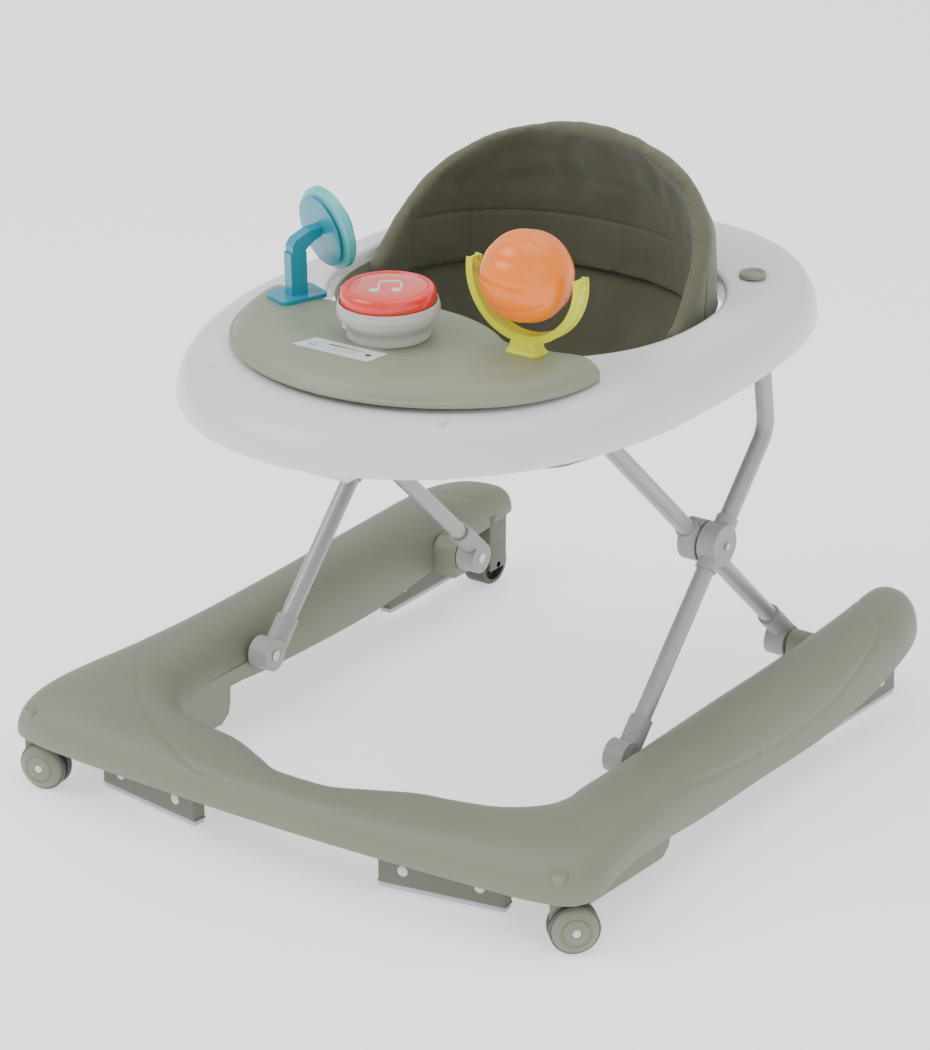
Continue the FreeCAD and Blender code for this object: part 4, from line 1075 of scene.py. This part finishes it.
for half_x, half_y, height in (
    (0.0170, 0.0110, low.z), (0.0172, 0.0112, low.z + 0.0020), (0.0160, 0.0104, low.z + 0.0032),
    (0.0140, 0.0090, low.z + 0.0060), (0.0128, 0.0080, foot_top - 0.0020), (0.0124, 0.0075, foot_top),
):
    ring = []
    for k in range(48):
        turn = math.tau * k / 48
        c, s = math.cos(turn), math.sin(turn)
        x = math.copysign(abs(c) ** 0.4, c) * half_x
        y = math.copysign(abs(s) ** 0.4, s) * half_y
        ring.append(Vector((ball_centre.x + x, ball_centre.y + y, height)))
    foot_rings.append(ring)
foot = cap_ends(skin("fork_foot", foot_rings))
outward(foot)
tips = []
for hand in (-1, 1):
    knob = [
        (0, 0.0022), (0.0028, 0.0020), (0.0036, 0.0010), (0.0040, -0.0010), (0.0040, -0.0050),
        (0, -0.0050),
    ]
    tips.append(
        lathe(
            "fork_tip", knob, ball_centre + Vector((hand * (fork_radius + 0.0012), 0, 0)), (hand, 0, 0),
            steps=32,
        )
    )
fork = joined("ball_fork_arch", arc, foot, *tips)
wear(fork, lime)
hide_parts("ball_fork")
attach(fork, "toy_tray")

# ---------------------------------------------------------------- padded seat back
# Olive polyester over foam, open to the front, with a rolled top edge and stitched seam lines.
# The seat hangs from the tray's collar, so the back stands up out of the opening.
back_levels = [
    (0.395, 0.1700, 0.1540, 0.050), (0.417, 0.1705, 0.1540, 0.052), (0.450, 0.1705, 0.1480, 0.056),
    (0.485, 0.1650, 0.1380, 0.062), (0.515, 0.1500, 0.1210, 0.068), (0.537, 0.1270, 0.1000, 0.072),
]


def make_weave_group():
    """Plain woven cloth: threads crossing at right angles, soft shade changes and a little fuzz."""
    group, start, end = shader_group(
        "woven_cloth",
        (
            ("Colour", "NodeSocketColor", (0.1, 0.1, 0.06, 1)),
            ("Thread Scale", "NodeSocketFloat", 340.0),
            ("Shade", "NodeSocketFloat", 0.35),
        ),
        (("Colour", "NodeSocketColor"), ("Roughness", "NodeSocketFloat"), ("Height", "NodeSocketFloat")),
    )
    join = group.links.new
    place = group.nodes.new("ShaderNodeTexCoord").outputs["Object"]
    weave = math_node(group, "MULTIPLY")
    for slot, direction in enumerate(("X", "Z")):
        wave = group.nodes.new("ShaderNodeTexWave")
        wave.bands_direction = direction
        wave.inputs["Distortion"].default_value = 0.6
        wave.inputs["Detail Scale"].default_value = 0.4
        join(place, wave.inputs["Vector"])
        join(start.outputs["Thread Scale"], wave.inputs["Scale"])
        join(wave.outputs["Fac"], weave.inputs[slot])
    cloud = noise_node(group, 22, 5)
    join(place, cloud.inputs["Vector"])
    fuzz = noise_node(group, 1400, 3)
    join(place, fuzz.inputs["Vector"])
    shade = math_node(group, "MULTIPLY_ADD")
    join(cloud.outputs["Fac"], shade.inputs[0])
    join(start.outputs["Shade"], shade.inputs[1])
    shade.inputs[2].default_value = 0.8
    lit = math_node(group, "MULTIPLY_ADD", 0.25)
    join(weave.outputs[0], lit.inputs[0])
    join(shade.outputs[0], lit.inputs[2])
    tint = group.nodes.new("ShaderNodeVectorMath")
    tint.operation = "SCALE"
    join(start.outputs["Colour"], tint.inputs[0])
    join(lit.outputs[0], tint.inputs["Scale"])
    join(tint.outputs[0], end.inputs["Colour"])
    rough = math_node(group, "MULTIPLY_ADD", 0.15)
    join(fuzz.outputs["Fac"], rough.inputs[0])
    rough.inputs[2].default_value = 0.78
    join(rough.outputs[0], end.inputs["Roughness"])
    height = math_node(group, "MULTIPLY_ADD", 0.3)
    join(fuzz.outputs["Fac"], height.inputs[0])
    join(weave.outputs[0], height.inputs[2])
    join(height.outputs[0], end.inputs["Height"])
    return group


WEAVE = make_weave_group()


def woven(name, colour, threads, shade, depth, sheen):
    """A cloth material: thread scale and shade feed the weave, and sheen lifts its edges."""
    material = bpy.data.materials.new(name)
    material.use_nodes = True
    tree = material.node_tree
    shader = tree.nodes["Principled BSDF"]
    cloth = tree.nodes.new("ShaderNodeGroup")
    cloth.node_tree = WEAVE
    cloth.inputs["Colour"].default_value = (*colour, 1)
    cloth.inputs["Thread Scale"].default_value = threads
    cloth.inputs["Shade"].default_value = shade
    bump = tree.nodes.new("ShaderNodeBump")
    bump.inputs["Strength"].default_value = depth
    bump.inputs["Distance"].default_value = 0.0004
    tree.links.new(cloth.outputs["Height"], bump.inputs["Height"])
    tree.links.new(cloth.outputs["Colour"], shader.inputs["Base Color"])
    tree.links.new(cloth.outputs["Roughness"], shader.inputs["Roughness"])
    tree.links.new(bump.outputs["Normal"], shader.inputs["Normal"])
    shader.inputs["Sheen Weight"].default_value = sheen
    shader.inputs["Sheen Roughness"].default_value = 0.5
    return material


fabric = woven("olive_polyester_cloth", (0.098, 0.097, 0.060), 340, 0.35, 0.35, 0.25)


def tub_point(levels, angle, height, inset):
    """A point on the tapering tub at an angle round it, with the rear at a quarter turn."""
    height_now = min(max(height, levels[0][0]), levels[-1][0])
    for (z0, w0, r0, m0), (z1, w1, r1, m1) in zip(levels, levels[1:]):
        if height_now <= z1:
            break
    t = (height_now - z0) / (z1 - z0)
    half, reach, middle = w0 + (w1 - w0) * t - inset, r0 + (r1 - r0) * t - inset, m0 + (m1 - m0) * t
    c, s = math.cos(angle), math.sin(angle)
    x = math.copysign(abs(c) ** (2 / 2.2), c) * half
    y = middle + math.copysign(abs(s) ** (2 / 2.2), s) * reach
    return Vector((x, y, height))


def back_top(angle):
    """Height of the back's top edge: a slope that rises to the rear, rounded off at the top."""
    low, high = 0.40, 0.60
    for _ in range(30):
        middle = (low + high) / 2
        y = tub_point(back_levels, angle, middle, 0.008).y
        if middle < 0.408 + (y - 0.040) * 1.06:
            low = middle
        else:
            high = middle
    return low


back_rings = []
for i in range(61):
    angle = math.radians(-4 + 188 * i / 60)
    top = max(back_top(angle), 0.409)
    bottom = 0.398
    ring = []
    for k in range(9):
        ring.append(tub_point(back_levels, angle, bottom + (top - bottom) * k / 8, 0.0025))
    for k in range(1, 6):
        turn = math.pi * k / 6
        ring.append(
            tub_point(
                back_levels, angle, top + 0.007 * math.sin(turn),
                0.0025 + 0.0085 * (1 - math.cos(turn)),
            )
        )
    for k in range(9):
        ring.append(tub_point(back_levels, angle, top + (bottom - top) * k / 8, 0.0195))
    back_rings.append(ring)
seat_back = skin("seat_back_pad", back_rings)
bpy.ops.object.mode_set(mode="EDIT")
bpy.ops.mesh.select_all(action="DESELECT")
bpy.ops.mesh.select_non_manifold()
bpy.ops.mesh.fill_holes(sides=0)
bpy.ops.object.mode_set(mode="OBJECT")
outward(seat_back)
inner_seam = [tub_point(back_levels, math.radians(14 + 152 * i / 40), 0.447, 0.0195) for i in range(41)]
outer_seam = [tub_point(back_levels, math.radians(14 + 152 * i / 40), 0.447, 0.0025) for i in range(41)]
side_seams = []
for turned in (38, 142):
    side_seams.append(
        [tub_point(back_levels, math.radians(turned), 0.400 + 0.047 * i / 8, 0.0195) for i in range(9)]
    )
for turned in (11, 169):
    high = back_top(math.radians(turned))
    for inset in (0.0025, 0.0195):
        side_seams.append(
            [
                tub_point(back_levels, math.radians(turned), 0.400 + (high - 0.400) * i / 8, inset)
                for i in range(9)
            ]
        )
seams = [inner_seam, outer_seam] + side_seams


def seam_gap(point):
    """Distance from a point to the nearest stitched line."""
    return min((point - spot_on).length for seam in seams for spot_on in seam)


modify(seat_back, "REMESH", mode="VOXEL", voxel_size=0.005)
held = seat_back.vertex_groups.new(name="held")
for vertex in seat_back.data.vertices:
    tied = 1.0 if vertex.co.z < 0.403 else max(0.0, 1 - seam_gap(vertex.co) / 0.010)
    held.add([vertex.index], tied, "REPLACE")
pick(seat_back)
padding = seat_back.modifiers.new("padding", "CLOTH")
padding.settings.vertex_group_mass = "held"
padding.settings.use_pressure = True
padding.settings.uniform_pressure_force = 4
padding.settings.effector_weights.gravity = 0
padding.settings.mass = 0.3
padding.settings.tension_stiffness = 25
padding.settings.compression_stiffness = 25
padding.settings.shear_stiffness = 12
padding.settings.bending_stiffness = 1.5
padding.settings.air_damping = 3
padding.point_cache.frame_start = 1
padding.point_cache.frame_end = 20
before = [vertex.co.copy() for vertex in seat_back.data.vertices]
for moment in range(1, 21):
    bpy.context.scene.frame_set(moment)
bpy.ops.object.modifier_apply(modifier=padding.name)
bpy.context.scene.frame_set(1)
for vertex, start in zip(seat_back.data.vertices, before):
    travel = vertex.co - start
    if travel.length > 0.012:
        vertex.co = start + travel * (0.012 / travel.length)
modify(seat_back, "SMOOTH", factor=0.5, iterations=3)
modify(seat_back, "SUBSURF", levels=1, render_levels=1)
for seam in seams:
    carve(seat_back, [(point, 1) for point in seam], 0.0016, 0.0016)
normals = [vertex.normal.copy() for vertex in seat_back.data.vertices]
for vertex, normal in zip(seat_back.data.vertices, normals):
    slack = min(1, seam_gap(vertex.co) / 0.03) * min(1, max(0, (vertex.co.z - 0.400) / 0.02))
    spread = noise.noise(Vector((vertex.co.x * 16, vertex.co.y * 16, vertex.co.z * 30)))
    crease = noise.noise(Vector((vertex.co.x * 45 + 7, vertex.co.y * 45, vertex.co.z * 20)))
    vertex.co += normal * slack * (0.0022 * spread + 0.0010 * crease)
outward(seat_back)
wear(seat_back, fabric)
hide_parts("seat_back")
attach(seat_back, "tray")

# ---------------------------------------------------------------- hanging seat
# The cloth tub below the tray is lightly padded.
# Its mesh has no leg holes; the CAD solid has one each side of the crotch.
sling_levels = [
    (0.255, 0.0620, 0.0620, 0.050), (0.262, 0.0800, 0.0780, 0.050), (0.275, 0.0960, 0.0950, 0.050),
    (0.310, 0.1260, 0.1220, 0.050), (0.360, 0.1500, 0.1410, 0.050), (0.395, 0.1620, 0.1500, 0.050),
    (0.415, 0.1715, 0.1560, 0.050),
]
sling_rings = []
for i in range(26):
    height = 0.2555 + (0.4145 - 0.2555) * i / 25
    lifted = Vector((0, 0, 0.020 * (0.4145 - height) / 0.159))
    sling_rings.append(
        [tub_point(sling_levels, math.tau * k / 96, height, 0.001) + lifted for k in range(96)]
    )
sling = skin("hanging_seat", sling_rings)
bpy.ops.object.mode_set(mode="EDIT")
bpy.ops.mesh.select_all(action="DESELECT")
bpy.ops.object.mode_set(mode="OBJECT")
for vertex in sling.data.vertices[:96]:
    vertex.select = True
for edge in sling.data.edges:
    edge.select = max(edge.vertices) < 96
bpy.ops.object.mode_set(mode="EDIT")
bpy.ops.mesh.select_mode(type="EDGE")
bpy.ops.mesh.edge_face_add()
bpy.ops.object.mode_set(mode="OBJECT")
for vertex in sling.data.vertices:
    around = math.atan2(vertex.co.y - collar_middle, vertex.co.x)
    slack = max(0, min(1, (0.405 - vertex.co.z) / 0.04)) * max(0, min(1, (vertex.co.z - 0.262) / 0.03))
    fold = math.sin(around * 9 + 14 * vertex.co.z) + 0.6 * math.sin(around * 17 - 23 * vertex.co.z + 1.3)
    vertex.co.x *= 1 - 0.012 * slack * (1 + fold)
    vertex.co.y = collar_middle + (vertex.co.y - collar_middle) * (1 - 0.012 * slack * (1 + fold))
modify(sling, "SOLIDIFY", thickness=0.004, offset=-1)
outward(sling)
wear(sling, fabric)
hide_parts("seat_sling")
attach(sling, "tray")

# ---------------------------------------------------------------- floor, light and camera
# A plain pale floor under soft studio light.
bpy.ops.mesh.primitive_plane_add(size=14, location=(0, 0, 0))
floor = bpy.context.object
floor.name = "floor"
floor_paint = bpy.data.materials.new("pale_floor")
floor_paint.use_nodes = True
floor_paint.node_tree.nodes["Principled BSDF"].inputs["Base Color"].default_value = (0.86, 0.86, 0.86, 1)
floor_paint.node_tree.nodes["Principled BSDF"].inputs["Roughness"].default_value = 0.9
floor_paint.node_tree.nodes["Principled BSDF"].inputs["Emission Color"].default_value = (1, 1, 1, 1)
floor_paint.node_tree.nodes["Principled BSDF"].inputs["Emission Strength"].default_value = 0.8
wear(floor, floor_paint)
floor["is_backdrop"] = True
world = bpy.data.worlds.new("studio")
bpy.context.scene.world = world
world.use_nodes = True
world.node_tree.nodes["Background"].inputs["Color"].default_value = (1, 1, 1, 1)
world.node_tree.nodes["Background"].inputs["Strength"].default_value = 0.95
for name, place, size, power in (
    ("key_light", (-1.6, -1.6, 2.6), 1.8, 42),
    ("fill_light", (2.4, -1.8, 1.6), 2.0, 12),
    ("top_light", (0.2, 0.6, 3.0), 2.4, 26),
):
    bpy.ops.object.light_add(type="AREA", location=place)
    lamp = bpy.context.object
    lamp.name = name
    lamp.data.size = size
    lamp.data.energy = power
    lamp.rotation_euler = (Vector((0, 0, 0.25)) - lamp.location).to_track_quat("-Z", "Y").to_euler()
    lamp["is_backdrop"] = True
bpy.ops.object.camera_add(location=(2.1777, -3.1304, 1.7594), rotation=(math.pi / 2 - 0.3854, 0, 0.6144))
camera = bpy.context.object
camera.data.lens = 157.7
camera.data.sensor_width = 36
bpy.context.scene.camera = camera

low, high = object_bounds()
